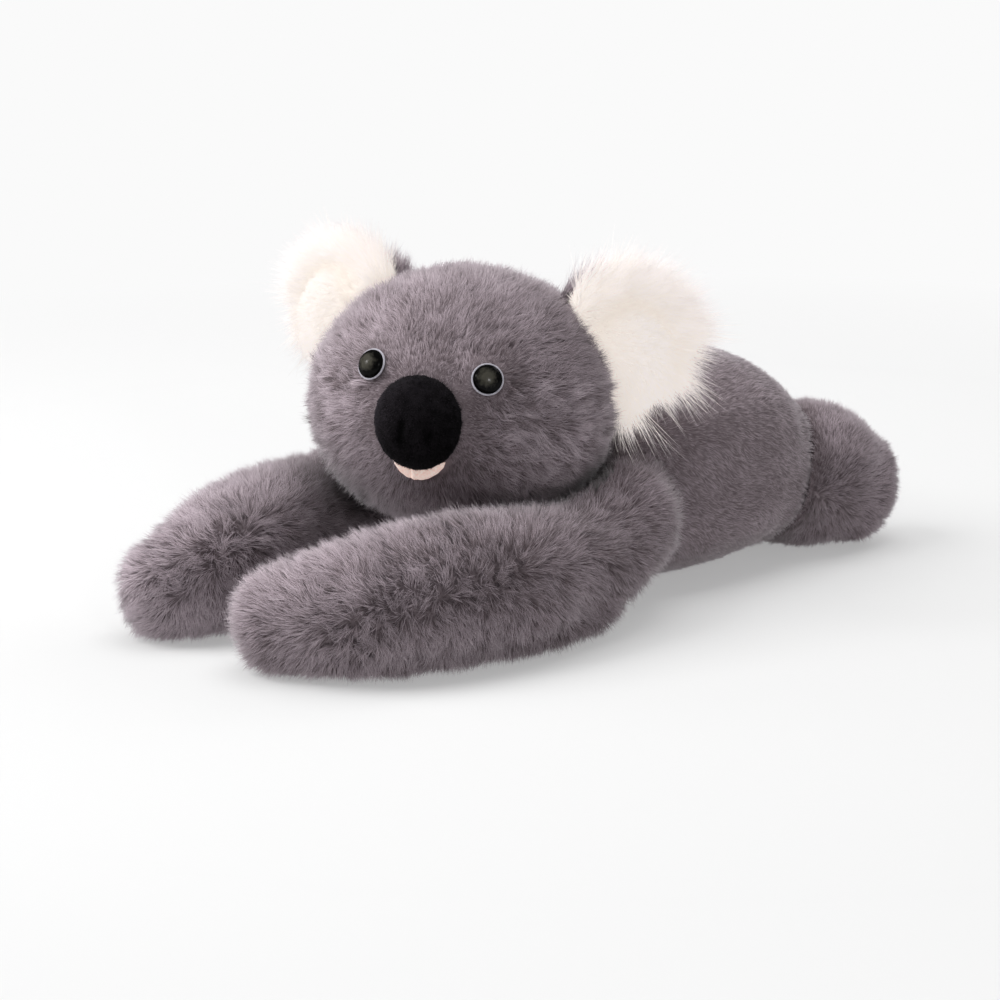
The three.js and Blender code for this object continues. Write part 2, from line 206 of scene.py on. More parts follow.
class Graph(Tree):
    """A material's nodes, with one Principled shader."""

    def __init__(self, name: str) -> None:
        """Starts an empty material of that name."""
        self.material = bpy.data.materials.new(name)
        super().__init__(self.material)
        self.shader = self.tree.nodes.new("ShaderNodeBsdfPrincipled")

    def attribute(self, name: str) -> Signal:
        """A number that the mesh carries at each point."""
        return self.node("ShaderNodeAttribute", {"attribute_name": name}, {}, "Fac")

    def place(self) -> Signal:
        """The point on the piece, in the row frame."""
        return self.node("ShaderNodeTexCoord", {}, {}, "Object")

    def vector(self, operation: str, *values: Any, output: str = "Vector") -> Signal:
        """One output of a Vector Math node on some values."""
        inputs = dict(enumerate(values))
        return self.node("ShaderNodeVectorMath", {"operation": operation}, inputs, output)

    def noise(self, size: float, detail: float) -> Signal:
        """Noise of about 0.5 over the piece, from its patches' size and its finer layers."""
        values = {"Vector": self.place(), "Scale": 1 / size, "Detail": detail}
        return self.node("ShaderNodeTexNoise", {}, values, "Fac")

    def mix(self, factor: Any, first: Any, second: Any) -> Signal:
        """Mixes two colours by a factor."""
        values = {0: factor, 6: first, 7: second}
        return self.node("ShaderNodeMix", {"data_type": "RGBA"}, values, 2)

    def bump(self, height: Signal, depth: float, strength: float) -> Signal:
        """A bumped normal from a height of 0 to 1 that stands for a depth."""
        values = {"Strength": strength, "Distance": depth, "Height": height}
        return self.node("ShaderNodeBump", {}, values, "Normal")

    def shaded(self, **sockets: Any) -> Signal:
        """The shader with its sockets set, each named with underscores for spaces."""
        for key, value in sockets.items():
            self.feed(self.shader.inputs[key.replace("_", " ")], value)
        return Signal(self, self.shader.outputs[0])

    def finish(self, **sockets: Any) -> Material:
        """Sets the shader's sockets as shaded does, and gives the material."""
        self.end("ShaderNodeOutputMaterial", self.shaded(**sockets))
        return self.material


@dataclass(frozen=True)
class FurFinish:
    """Dyed pile: deep at the root, a painted shade for the shadow down in the pile, and darker or
    paler at the tip from strand to strand.

    The glow is painted light: an emission that lifts white strands where they lie in shade, standing
    for the light that passes through them from one to the next.
    """

    name: str
    deep: Colour
    dark: Colour
    light: Colour
    edge: Colour
    sheen: float = 0.35
    glow: float = 0.0
    body_gain: float = 1.5
    edge_from: float = 0.6
    edge_gain: float = 1.6
    edge_most: float = 0.6

    def material(self) -> Material:
        """Builds the pile's material from the numbers that each strand carries."""
        graph = Graph(self.name)
        tone = graph.attribute(TONE)
        rise = graph.attribute(RISE)
        body = graph.mix(tone, self.dark, self.light)
        # painted shade: each strand darkens towards its root
        grown = graph.mix((rise * self.body_gain).held(0.0, 1.0), self.deep, body)
        tip = ((rise - self.edge_from) * self.edge_gain).held(0.0, self.edge_most)
        colour = graph.mix(tip, grown, self.edge)
        return graph.finish(
            Base_Color=colour,
            # painted light: the glow lights the pile from within
            Emission_Color=colour if self.glow else self.light,
            Emission_Strength=self.glow,
            Roughness=PILE_ROUGHNESS,
            Sheen_Weight=self.sheen,
            Sheen_Roughness=SHEEN_ROUGHNESS,
            Specular_IOR_Level=0.1,
        )


@dataclass(frozen=True)
class VelvetFinish:
    """Short black velvet, mottled from strand to strand, with the nose's painted light and shade
    carried in its tones.
    """

    name: str
    deep: Colour
    light: Colour

    def material(self) -> Material:
        """Builds the velvet from its strands' own tones."""
        graph = Graph(self.name)
        tone = graph.attribute(TONE)
        rise = graph.attribute(RISE)
        return graph.finish(
            Base_Color=graph.mix((tone * rise).held(0.0, 1.0), self.deep, self.light),
            Roughness=PILE_ROUGHNESS,
            Sheen_Weight=0.02,
            Sheen_Roughness=SHEEN_ROUGHNESS,
            Specular_IOR_Level=0.05,
        )


@dataclass(frozen=True)
class FeltFinish:
    """Pressed felt, with a fibrous mottle, a soft bump and a glow, which is painted light that lifts
    the felt where it lies in shade.
    """

    name: str
    dark: Colour
    light: Colour
    grain: float = 0.9 * MM
    glow: float = 0.08
    contrast: float = 1.4
    bias: float = 0.9

    def material(self) -> Material:
        """Builds the felt."""
        graph = Graph(self.name)
        coarse = graph.noise(self.grain * 4, 3.0)
        fine = graph.noise(self.grain, 4.0)
        spread = ((coarse + fine) * self.contrast - self.bias).held(0.0, 1.0)
        colour = graph.mix(spread, self.dark, self.light)
        return graph.finish(
            Base_Color=colour,
            Emission_Color=colour,
            Emission_Strength=self.glow,
            Roughness=0.9 - 0.15 * fine,
            Normal=graph.bump(fine, 0.25 * MM, 0.7),
            Sheen_Weight=0.2,
            Specular_IOR_Level=0.2,
        )


@dataclass(frozen=True)
class EyeFinish:
    """A glossy dome with a dark olive-brown middle and a black rim; the middle, set off its axis
    toward where a reflection falls, is partly a painted reflection.
    """

    name: str
    middle: Colour
    rim: Colour
    centre: Vector
    axis: Vector
    radius: float
    fleck: float = 1.7 * MM
    clear: float = 0.34
    fade: float = 2.4
    mottle: float = 1.8

    def material(self) -> Material:
        """Builds the dome's material round its own axis."""
        graph = Graph(self.name)
        off = graph.vector("SUBTRACT", graph.place(), self.centre)
        across = graph.vector("CROSS_PRODUCT", off, self.axis)
        away = graph.vector("LENGTH", across, output="Value")
        flecks = graph.noise(self.fleck, 4.0)
        clear = (away / self.radius - self.clear) * self.fade
        share = (clear + (flecks - 0.5) * self.mottle).held(0.0, 1.0)
        return graph.finish(
            Base_Color=graph.mix(share, self.middle, self.rim),
            Roughness=0.12 + 0.1 * flecks,
            Coat_Weight=0.55 - 0.4 * share,
            Coat_Roughness=0.2,
            Specular_IOR_Level=0.0,
        )


@dataclass(frozen=True)
class PlasticFinish:
    """Plain moulded plastic with a faint tooled grain."""

    name: str
    colour: Colour
    worn: Colour

    def material(self) -> Material:
        """Builds the plastic."""
        graph = Graph(self.name)
        grain = graph.noise(0.6 * MM, 2.0)
        return graph.finish(
            Base_Color=graph.mix(grain, self.colour, self.worn),
            Roughness=0.4 + 0.2 * grain,
            Normal=graph.bump(grain, 0.05 * MM, 0.4),
        )


GREY_FUR = FurFinish(
    "fur_grey", paint(78, 68, 70), paint(111, 98, 101), paint(204, 189, 197), paint(208, 195, 203)
)
# The white fur's glow is painted light that lifts it where it lies in shade.
WHITE_FUR = FurFinish(
    "fur_white", paint(195, 188, 182), paint(206, 197, 188), paint(208, 203, 201),
    paint(172, 164, 171), sheen=0.1, glow=0.84,
)
NOSE_VELVET = VelvetFinish("nose_velvet", paint(1, 1, 1), paint(68, 63, 69))
# The felt's glow is painted light, strongest on the mouth, which lies in the nose's shade.
MOUTH_FELT = FeltFinish("mouth_felt", paint(238, 200, 186), paint(255, 236, 226), glow=0.3)
RIM_FELT = FeltFinish("rim_felt", paint(146, 144, 153), paint(190, 187, 196), 0.5 * MM)
WASHER_PLASTIC = PlasticFinish("washer_plastic", paint(205, 205, 203), paint(226, 226, 224))
EYE_MIDDLE, EYE_RIM = paint(60, 58, 51), paint(4, 4, 4)
FLOOR, BACKDROP = paint(216, 216, 216), paint(250, 250, 250)


def deselect() -> None:
    """Deselects every object."""
    bpy.ops.object.select_all(action="DESELECT")


def activate(piece: Piece) -> None:
    """Selects one object alone and makes it the active one."""
    deselect()
    piece.select_set(True)
    bpy.context.view_layer.objects.active = piece


@contextmanager
def editing(piece: Piece, action: str | None = "SELECT") -> Iterator[None]:
    """Opens a piece in edit mode.

    Args:
        piece: The piece.
        action: What is done to its whole selection first, if anything.
    """
    activate(piece)
    bpy.ops.object.mode_set(mode="EDIT")
    if action:
        bpy.ops.mesh.select_all(action=action)
    yield
    bpy.ops.object.mode_set(mode="OBJECT")


def shape(piece: Piece, kind: str, **settings: Any) -> None:
    """Adds a modifier of some kind and settings to a piece and applies it."""
    activate(piece)
    modifier = piece.modifiers.new(kind.lower(), kind)
    for key, value in settings.items():
        setattr(modifier, key, value)
    bpy.ops.object.modifier_apply(modifier=modifier.name)


def put(name: str, data: Any) -> Piece:
    """Adds an object with some data to the scene."""
    made = bpy.data.objects.new(name, data)
    bpy.context.scene.collection.objects.link(made)
    return made


def aim(piece: Piece, place: Sequence[float], target: Sequence[float]) -> None:
    """Stands a camera or a lamp at a place, facing a target."""
    piece.location = place
    way = Vector(target) - Vector(place)
    piece.rotation_euler = way.to_track_quat("-Z", "Y").to_euler()


def unit(vectors: Array) -> Array:
    """Each row scaled to length one."""
    return vectors / np.maximum(np.linalg.norm(vectors, axis=-1, keepdims=True), 1e-12)


def along_skin(vectors: Array, normals: Array) -> Array:
    """Each vector laid flat on the skin and scaled to length one."""
    return unit(vectors - (vectors * normals).sum(1, keepdims=True) * normals)


def turned(vectors: Array, axes: Array, angles: Array) -> Array:
    """Each vector turned about its own axis, which is square to it."""
    cosine, sine = np.cos(angles)[:, None], np.sin(angles)[:, None]
    return vectors * cosine + np.cross(axes, vectors) * sine


def bell(distances: Array, width: float) -> Array:
    """One at no distance, falling away smoothly over a width."""
    return np.exp(-((distances / width) ** 2))


def step(values: Array, low: float, high: float) -> Array:
    """A smooth step from zero at low to one at high."""
    share = np.clip((values - low) / (high - low), 0, 1)
    return share * share * (3 - 2 * share)


def lifted(points: Array, high: float) -> Array:
    """A smooth step from zero on the ground to one at some height."""
    return step(points[:, 2], 0.0, high)


def off_the_ground(points: Array) -> Array:
    """Thins the pile where the toy's weight presses it flat."""
    return 0.35 + 0.65 * step(points[:, 2], 1.5 * MM, 6 * MM)


def numbers(items: Any, key: str, width: int, kind: type = np.float64) -> Array:
    """Reads a property of many mesh items as rows of numbers."""
    single = np.float32 if kind is np.float64 else kind
    values = np.zeros(len(items) * width, single)
    items.foreach_get(key, values)
    return values.reshape(-1, width).astype(kind)


def mesh_from(
    name: str, points: Array, corners: Array, sizes: Array
) -> bpy.types.Mesh:
    """Makes a smooth mesh from arrays.

    Args:
        name: The mesh's name.
        points: The vertices.
        corners: The vertex at each corner of each face.
        sizes: How many corners each face has.

    Returns:
        The mesh.
    """
    mesh = bpy.data.meshes.new(name)
    mesh.vertices.add(len(points))
    mesh.vertices.foreach_set("co", points.astype(np.float32).ravel())
    mesh.loops.add(len(corners))
    mesh.loops.foreach_set("vertex_index", corners.astype(np.int32))
    mesh.polygons.add(len(sizes))
    starts = np.concatenate([[0], np.cumsum(sizes)[:-1]])
    mesh.polygons.foreach_set("loop_start", starts.astype(np.int32))
    mesh.polygons.foreach_set("use_smooth", np.ones(len(sizes), bool))
    mesh.update(calc_edges=True)
    return mesh


class Waves:
    """A smooth random field of about unit size, made from seeded plane waves."""

    def __init__(self, size: float, seed: int, count: int = 16) -> None:
        """Draws a count of waves of about one size."""
        random = np.random.default_rng(seed)
        ways = unit(random.normal(size=(count, 3)))
        self.waves = ways * (2 * math.pi / size) * random.uniform(0.6, 1.5, (count, 1))
        self.phases = random.uniform(0, 2 * math.pi, count)

    def __call__(self, points: Array) -> Array:
        """The field's value at each point."""
        total = np.sin(points @ self.waves.T + self.phases).sum(1)
        return total / math.sqrt(len(self.phases) / 2)


@dataclass(frozen=True)
class Parting:
    """A line on the skin that the pile grows away from, given by its points."""

    points: Array

    def nearest(self, places: Array) -> Array:
        """The point of the line nearest to each place."""
        best = np.full(len(places), np.inf)
        found = np.zeros_like(places)
        for start, end in zip(self.points[:-1], self.points[1:]):
            way = end - start
            share = np.clip(((places - start) @ way) / (way @ way), 0, 1)
            spot = start + share[:, None] * way
            gap = np.linalg.norm(places - spot, axis=1)
            closer = gap < best
            best[closer] = gap[closer]
            found[closer] = spot[closer]
        return found

    def gap(self, places: Array) -> Array:
        """How far each place lies from the line."""
        return np.linalg.norm(places - self.nearest(places), axis=1)

    def mirrored(self) -> Parting:
        """The same line on the toy's other side."""
        return Parting(self.points * np.array([-1.0, 1.0, 1.0]))


@dataclass(frozen=True)
class Viewpoint:
    """The camera at the photograph's viewing angle, for a square frame."""

    lens: float = 125.2
    sensor: float = 36.0
    place: tuple[float, float, float] = (0.9968, -1.2104, 0.4124)
    target: tuple[float, float, float] = (-0.115, 0.0435, 0.0)
    frame_pixels: int = 1000

    def add(self) -> None:
        """Makes the scene's camera."""
        data = bpy.data.cameras.new("camera")
        data.lens = self.lens
        data.sensor_width = self.sensor
        data.clip_start = 0.05
        data.clip_end = 50.0
        camera = put("camera", data)
        aim(camera, self.place, self.target)
        bpy.context.scene.camera = camera

    def sight(self, across: float, down: float) -> tuple[Vector, Vector]:
        """Where the line of sight through a pixel starts, and its direction.

        Args:
            across: The pixel's place from the left.
            down: Its place from the top.

        Returns:
            The start and the direction.
        """
        start = Vector(self.place)
        ahead = (Vector(self.target) - start).normalized()
        right = ahead.cross(Vector((0, 0, 1))).normalized()
        over = right.cross(ahead)
        scale = self.sensor / self.frame_pixels
        middle = self.frame_pixels / 2
        way = ahead * self.lens + right * (across - middle) * scale
        return start, (way - over * (down - middle) * scale).normalized()

    def touch(self, piece: Piece, pixels: Sequence[Sequence[float]]) -> Array:
        """Where the lines of sight through some pixels meet a piece.

        Args:
            piece: The piece.
            pixels: The pixels, each across and down.

        Returns:
            One point for each pixel that meets the piece.
        """
        found = []
        for across, down in pixels:
            hit, point, _, _ = piece.ray_cast(*self.sight(across, down))
            if hit:
                found.append(point[:])
            else:
                LOG.warning("%s isn't met at pixel %s, %s", piece.name, across, down)
        return np.array(found)


@dataclass(frozen=True)
class Coat:
    """How one stretch of pile grows.

    The lean is in degrees from upright, at the root and at the tip. The gather is how far the tips
    of a clump draw together. The swirl is how far the clumps turn across the skin in slow waves.
    Free strands leave the skin to follow their flow. The crest is the rise that the tips carry.
    """

    strands: int
    length: float
    width: float
    lean: tuple[float, float] = (38.0, 52.0)
    lean_spread: float = 7.0
    per_clump: int = 9
    gather: float = 0.2
    swirl: float = 14.0
    swirl_size: float = 30 * MM
    stray: float = 9.0
    scatter: float = 0.18
    uneven: float = 0.1
    spans: int = 1
    free: bool = False
    crest: float = 1.0
    tone: float = 0.5
    tone_clump: float = 0.10
    tone_strand: float = 0.14
    tone_slow: float = 0.07
    softness: float = 0.68


@dataclass
class Strips:
    """Many strands of one coat: the corners of each, their normals, its tone and their rises."""

    points: Array
    normals: Array
    tones: Array
    rises: Array
    spans: int

    def ring(self, side: int) -> tuple[list[int], list[int]]:
        """One face of a strand.

        Args:
            side: The face's number.

        Returns:
            The places of its corners, and which way each goes across the map.
        """
        beside = side - 2 if side % 3 == 2 else side + 1
        if side < 3 * (self.spans - 1):
            return [side, beside, beside + 3, side + 3], [-1, 1, 1, -1]
        return [side, beside, 3 * self.spans], [-1, 1, 0]


class Pelt:
    """A skin and the strands that grow on it, made into one mesh."""

    floor = 0.3 * MM
    floor_spread = 0.9 * MM
    root_depth = 0.4 * MM
    shortest, longest = 0.62, 1.12
    slow_waves, skin_waves = 26 * MM, 8 * MM
    least_tone, most_tone = 0.02, 0.98
    map_width = 0.004
    # The skin takes the colour of the strands' roots, part of the painted shade down in the pile.
    skin_rise = 0.25

    def __init__(
        self, skin: Piece, seed: int, facing: Array | None = None
    ) -> None:
        """Reads a skin.

        Args:
            skin: The skin's object, which the finished piece replaces.
            seed: The seed of everything that grows on it.
            facing: A way that the shading of every strand leans to.
        """
        self.skin = skin
        self.facing = np.zeros(3) if facing is None else facing
        self.seed = seed
        self.random = np.random.default_rng(seed)
        mesh = skin.data
        mesh.calc_loop_triangles()
        self.points = numbers(mesh.vertices, "co", 3)
        self.normals = numbers(mesh.vertices, "normal", 3)
        self.triangles = numbers(mesh.loop_triangles, "vertices", 3, np.int32)
        first, second, third = (self.points[self.triangles[:, at]] for at in range(3))
        self.areas = np.linalg.norm(np.cross(second - first, third - first), axis=1)
        self.strips: list[Strips] = []

    def _scatter(self, count: int, keep: Field | None) -> tuple[Array, Array]:
        """Places roots evenly over the skin.

        Args:
            count: How many are tried.
            keep: The chance that a root stays, from its place.

        Returns:
            The roots and the skin's normals there.
        """
        chance = self.areas / self.areas.sum()
        faces = self.triangles[self.random.choice(len(chance), count, p=chance)]
        first, second = self.random.random(count), self.random.random(count)
        over = first + second > 1
        first[over], second[over] = 1 - first[over], 1 - second[over]
        weights = np.stack([1 - first - second, first, second], 1)[:, :, None]
        roots = (self.points[faces] * weights).sum(1)
        normals = unit((self.normals[faces] * weights).sum(1))
        if keep is not None:
            stays = self.random.random(count) < keep(roots)
            roots, normals = roots[stays], normals[stays]
        return roots, normals

    def _clumps(self, roots: Array, per_clump: int) -> tuple[int, Array]:
        """Gives each root the nearest of the first few roots as its leader.

        Args:
            roots: The roots.
            per_clump: About how many share a leader.

        Returns:
            How many leaders there are, and each root's leader.
        """
        leaders = max(1, len(roots) // per_clump)
        tree = KDTree(leaders)
        for index in range(leaders):
            tree.insert(roots[index], index)
        tree.balance()
        return leaders, np.array([tree.find(root)[1] for root in roots])

    def grow(
        self,
        coat: Coat,
        flow: Flow,
        keep: Field | None = None,
        reach: Field | None = None,
        tint: Field | None = None,
        droop: Field | None = None,
    ) -> None:
        """Grows one coat on the skin.

        Args:
            coat: How the pile grows.
            flow: The way it lies, from places and normals.
            keep: The chance that a strand stands at a place.
            reach: What its length is multiplied by.
            tint: What is added to its tone.
            droop: What its lean is multiplied by.
        """
        random = self.random
        roots, normals = self._scatter(coat.strands, keep)
        leaders, owner = self._clumps(roots, coat.per_clump)
        lead, lead_normals = roots[:leaders], normals[:leaders]

        turn = math.radians(coat.swirl) * Waves(coat.swirl_size, self.seed + 11)(lead)
        turn += math.radians(coat.stray) * random.normal(size=leaders)
        lie = flow(lead, lead_normals)
        lie = unit(lie) if coat.free else along_skin(lie, lead_normals)
        lie = turned(lie, lead_normals, turn)
        spread = math.radians(coat.lean_spread)
        lean = spread * random.normal(size=leaders)
        length = coat.length * (1 + coat.uneven * random.normal(size=leaders)).clip(0.4, 1.6)
        if reach is not None:
            length *= reach(lead)

        count = len(roots)
        way = lie[owner] + coat.scatter * random.normal(size=(count, 3))
        way = unit(way) if coat.free else along_skin(way, normals)
        own = length[owner] * random.uniform(self.shortest, self.longest, count)
        own_lean = lean[owner] + 0.5 * spread * random.normal(size=count)
        fall = np.ones(count) if droop is None else droop(roots)
        drawn = lead[owner] - roots
        drawn -= (drawn * normals).sum(1, keepdims=True) * normals

        line = [roots - normals * self.root_depth]
        low_lean, high_lean = coat.lean
        for span in range(coat.spans):
            share = (span + 0.5) / coat.spans
            bend = fall * np.radians(low_lean + (high_lean - low_lean) * share) + own_lean
            ahead = normals * np.cos(bend)[:, None] + way * np.sin(bend)[:, None]
            pull = coat.gather * (2 * share / coat.spans)
            line.append(line[-1] + ahead * (own / coat.spans)[:, None] + drawn * pull)
        line = np.stack(line, 1)
        low = self.floor + random.uniform(0, self.floor_spread, (count, 1))
        line[:, :, 2] = np.maximum(line[:, :, 2], low)

        tones = self._tones(coat, roots, owner, leaders, tint)
        points, shaded, rises = self._spikes(coat, line, normals)
        self.strips.append(Strips(points, shaded, tones, rises, coat.spans))

    def _tones(
        self, coat: Coat, roots: Array, owner: Array, leaders: int, tint: Field | None
    ) -> Array:
        """Draws each strand's tone.

        Args:
            coat: How the pile grows.
            roots: The roots.
            owner: Each root's leader.
            leaders: How many leaders there are.
            tint: What is added to the tone at a place.

        Returns:
            The tones.
        """
        tones = coat.tone + coat.tone_strand * self.random.normal(size=len(roots))
        tones += coat.tone_clump * self.random.normal(size=leaders)[owner]
        tones += coat.tone_slow * Waves(self.slow_waves, self.seed + 5)(roots)
        if tint is not None:
            tones += tint(roots)
        return tones.clip(self.least_tone, self.most_tone)

    def _spikes(
        self, coat: Coat, line: Array, normals: Array
    ) -> tuple[Array, Array, Array]:
        """Makes each strand a closed three-sided spike round its line.

        Args:
            coat: How the pile grows.
            line: The points of each strand's line.
            normals: The skin's normal at each root.

        Returns:
            The corners of each spike, their normals, and the rise of one spike's corners.
        """
        ahead = unit(line[:, -1] - line[:, 0])
        aside = unit(np.cross(ahead, normals))
        over = np.cross(ahead, aside)
        spin = self.random.uniform(0, 2 * math.pi, len(line))
        shade = unit(normals + self.facing) * coat.softness
        rows, shades, rises = [], [], []
        for span in range(coat.spans):
            share = span / coat.spans
            radius = (coat.width / 2) * (1 - share**1.6)
            for corner in range(3):
                angle = (spin + corner * 2 * math.pi / 3)[:, None]
                radial = aside * np.cos(angle) + over * np.sin(angle)
                rows.append(line[:, span] + radius * radial)
                shades.append(unit(shade + radial * (1 - coat.softness)))
                rises.append(share * coat.crest)
        rows.append(line[:, -1])
        shades.append(unit(shade + ahead * 0.5 * (1 - coat.softness)))
        rises.append(coat.crest)
        points = np.stack(rows, 1)
        points[:, :, 2] = np.maximum(points[:, :, 2], self.floor)
        return points, np.stack(shades, 1), np.array(rises)

    def finish(
        self, name: str, material: Material, tint: Field | None = None
    ) -> Piece:
        """Joins the skin and its strands into one piece.

        Args:
            name: The piece's name.
            material: Its material.
            tint: What is added to the skin's tone.

        Returns:
            The piece.
        """
        skin_tones = 0.5 + 0.1 * Waves(self.skin_waves, self.seed + 3)(self.points)
        if tint is not None:
            skin_tones += tint(self.points)
        skin_tones = skin_tones.clip(self.least_tone, self.most_tone)
        points, normals, tones = [self.points], [self.normals], [skin_tones]
        rises = [np.full(len(self.points), self.skin_rise)]
        corners, sizes = [self.triangles.ravel()], [np.full(len(self.triangles), 3)]
        middles = skin_tones[self.triangles].mean(1)
        wide = middles[:, None] + np.array([-1.0, 1.0, 0.0]) * self.map_width
        maps = [np.stack([wide.ravel(), np.tile([0.012, 0.012, 0.03], len(middles))], 1)]
        offset = len(self.points)
        for strips in self.strips:
            count, per = strips.points.shape[:2]
            starts = offset + per * np.arange(count)[:, None]
            for side in range(3 * strips.spans):
                ring, across = strips.ring(side)
                corners.append((starts + np.array(ring)).ravel())
                sizes.append(np.full(count, len(ring)))
                wide = strips.tones[:, None] + np.array(across) * self.map_width
                rise = np.tile(strips.rises[ring] * 0.96 + 0.02, count)
                maps.append(np.stack([wide.ravel(), rise], 1))
            points.append(strips.points.reshape(-1, 3))
            normals.append(strips.normals.reshape(-1, 3))
            tones.append(np.repeat(strips.tones, per))
            rises.append(np.tile(strips.rises, count))
            offset += count * per
        mesh = mesh_from(name, *(np.concatenate(parts) for parts in (points, corners, sizes)))
        for label, values in ((TONE, tones), (RISE, rises)):
            attribute = mesh.attributes.new(label, "FLOAT", "POINT")
            attribute.data.foreach_set("value", np.concatenate(values).astype(np.float32))
        layer = mesh.uv_layers.new(name="OFBake", do_init=False)
        flat = np.concatenate(maps).clip(0.001, 0.999).astype(np.float32)
        layer.uv.foreach_set("vector", flat.ravel())
        mesh.normals_split_custom_set_from_vertices(np.concatenate(normals))
        mesh.validate()
        mesh.materials.append(material)
        bpy.data.objects.remove(self.skin)
        return put(name, mesh)


class Workshop:
    """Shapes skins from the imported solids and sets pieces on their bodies."""

    furthest_gap = 20 * MM

    def __init__(self, frame: dict[str, Any], view: Viewpoint) -> None:
        """Keeps the frame and the viewpoint."""
        self.frame = frame
        self.view = view
        self.joints = {joint["name"]: joint for joint in frame["joints"]}

    def pivot(self, joint: str) -> Vector:
        """Where a joint turns."""
        return Vector(self.joints[joint]["pos_m"])

    def middle(self, node: str) -> Vector:
        """The middle of a node's box."""
        low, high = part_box(node)
        return (low + high) / 2

    def beside(self, nodes: Sequence[str]) -> Field:
        """How far places lie from the nearest of some nodes."""
        trees = []
        for node in nodes:
            mesh = self.frame["nodes"][node].data
            places = [vertex.co[:] for vertex in mesh.vertices]
            faces = [face.vertices[:] for face in mesh.polygons]
            trees.append(BVHTree.FromPolygons(places, faces))

        def gap(points: Array) -> Array:
            """The distance, up to a bound."""
            bound = self.furthest_gap
            found = (
                [tree.find_nearest(point, bound)[3] or bound for point in points]
                for tree in trees
            )
            return np.min(list(found), axis=0)

        return gap

    def copied(self, name: str, nodes: Sequence[str]) -> Piece:
        """Joins merged copies of nodes into one object."""
        deselect()
        for node in nodes:
            mesh = self.frame["nodes"][node].data.copy()
            mesh.materials.clear()
            part = put(name, mesh)
            part.select_set(True)
            bpy.context.view_layer.objects.active = part
        if len(nodes) > 1:
            bpy.ops.object.join()
        whole = bpy.context.view_layer.objects.active
        with editing(whole):
            bpy.ops.mesh.remove_doubles(threshold=1e-6)
        return whole

    def skin(
        self, name: str, nodes: Sequence[str], voxel: float, turns: int = 8, hull: bool = False
    ) -> Piece:
        """Makes a smooth closed skin round some nodes.

        Args:
            name: The skin's name.
            nodes: The nodes that it goes round.
            voxel: The size of its faces.
            turns: How often it is smoothed.
            hull: Whether it bridges every hollow.

        Returns:
            The skin.
        """
        piece = self.copied(name, nodes)
        if hull:
            with editing(piece):
                bpy.ops.mesh.convex_hull()
        shape(piece, "REMESH", mode="VOXEL", voxel_size=voxel)
        self._keep_outside(piece)
        shape(piece, "SMOOTH", factor=0.5, iterations=turns)
        return piece

    def _keep_outside(self, piece: Piece) -> None:
        """Deletes the shells inside the outermost one."""
        points = numbers(piece.data.vertices, "co", 3)
        furthest = int(np.linalg.norm(points - points.mean(0), axis=1).argmax())
        with editing(piece, "DESELECT"):
            pass
        piece.data.vertices[furthest].select = True
        with editing(piece, None):
            bpy.ops.mesh.select_linked()
            bpy.ops.mesh.select_all(action="INVERT")
            bpy.ops.mesh.delete(type="VERT")

    def move(self, piece: Piece, mover: Flow) -> None:
        """Moves a skin's points to where a function of their places and normals puts them."""
        points = numbers(piece.data.vertices, "co", 3)
        normals = numbers(piece.data.vertices, "normal", 3)
        moved = mover(points, normals).astype(np.float32)
        piece.data.vertices.foreach_set("co", moved.ravel())
        piece.data.update()

    def set_back(self, piece: Piece, depth: Field) -> None:
        """Moves a skin inwards along its normals by a depth at each place."""
        self.move(piece, lambda points, normals: points - normals * depth(points)[:, None])

    def settle(
        self,
        piece: Piece,
        body: str,
        slot: str,
        nodes: Sequence[str],
        fill: float | None = None,
    ) -> None:
        """Sets a finished piece on its body in place of some nodes.

        Args:
            piece: The piece.
            body: The body that it rides on.
            slot: The record's slot of its finish; not used.
            nodes: The nodes that it stands for.
            fill: How full a stuffed piece is; not used.
        """
        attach(piece, body)
        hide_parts(*nodes)
        LOG.info("%s: %d faces on %s", piece.name, len(piece.data.polygons), body)


@dataclass
class Torso:
    """The belly and back: a short, smooth pile that lies towards the rear."""

    workshop: Workshop
    pile: float = 1.5 * MM
    crowded: Range = (2 * MM, 12 * MM)
    coat: Coat = Coat(
        98000, 4.6 * MM, 0.44 * MM, (58.0, 66.0), lean_spread=3.5, uneven=0.06, gather=0.05,
        swirl_size=45 * MM, tone=0.41, tone_clump=0.03, tone_strand=0.06, tone_slow=0.06,
        softness=0.9,
    )

    def __post_init__(self) -> None:
        """Measures the room beside the limbs."""
        nodes = [f"{limb}_{side.word}_cover" for limb in ("arm", "leg") for side in Side]
        self.room = self.workshop.beside(nodes)

    def free(self, points: Array) -> Array:
        """One where no limb crowds the torso."""
        return step(self.room(points), *self.crowded)

    def depth(self, points: Array) -> Array:
        """How far the skin lies under the pile, less where the toy rests and beside a limb."""
        rest = 0.3 + 0.7 * lifted(points, 12 * MM)
        return self.pile * rest * (0.3 + 0.7 * self.free(points))

    def droop(self, points: Array) -> Array:
        """The pile stands up where a limb crowds it."""
        return 0.6 + 0.4 * self.free(points)

    def flow(self, points: Array, normals: Array) -> Array:
        """Towards the rear, and down at the sides."""
        way = np.array([0.0, 1.0, 0.0]) - 0.65 * (normals[:, 2:] < 0.6) * UP
        return way + 0.25 * normals * np.array([1.0, 0.0, 0.0])

    def build(self, material: Material) -> None:
        """Makes the torso."""
        nodes = ["torso_cover", "torso_filling"]
        skin = self.workshop.skin("torso_skin", nodes, 2.6 * MM)
        self.workshop.set_back(skin, self.depth)
        pelt = Pelt(skin, seed=101)
        pelt.grow(self.coat, self.flow, keep=off_the_ground, droop=self.droop)
        piece = pelt.finish("torso", material)
        self.workshop.settle(piece, "torso", "fur_grey", nodes, fill=0.75)


@dataclass(frozen=True)
class Spot:
    """A round place on a limb, seen at a pixel: how much deeper, how wide and how dark its painted
    shade is.
    """

    across: float
    down: float
    deep: float
    wide: float
    darker: float = 0.0


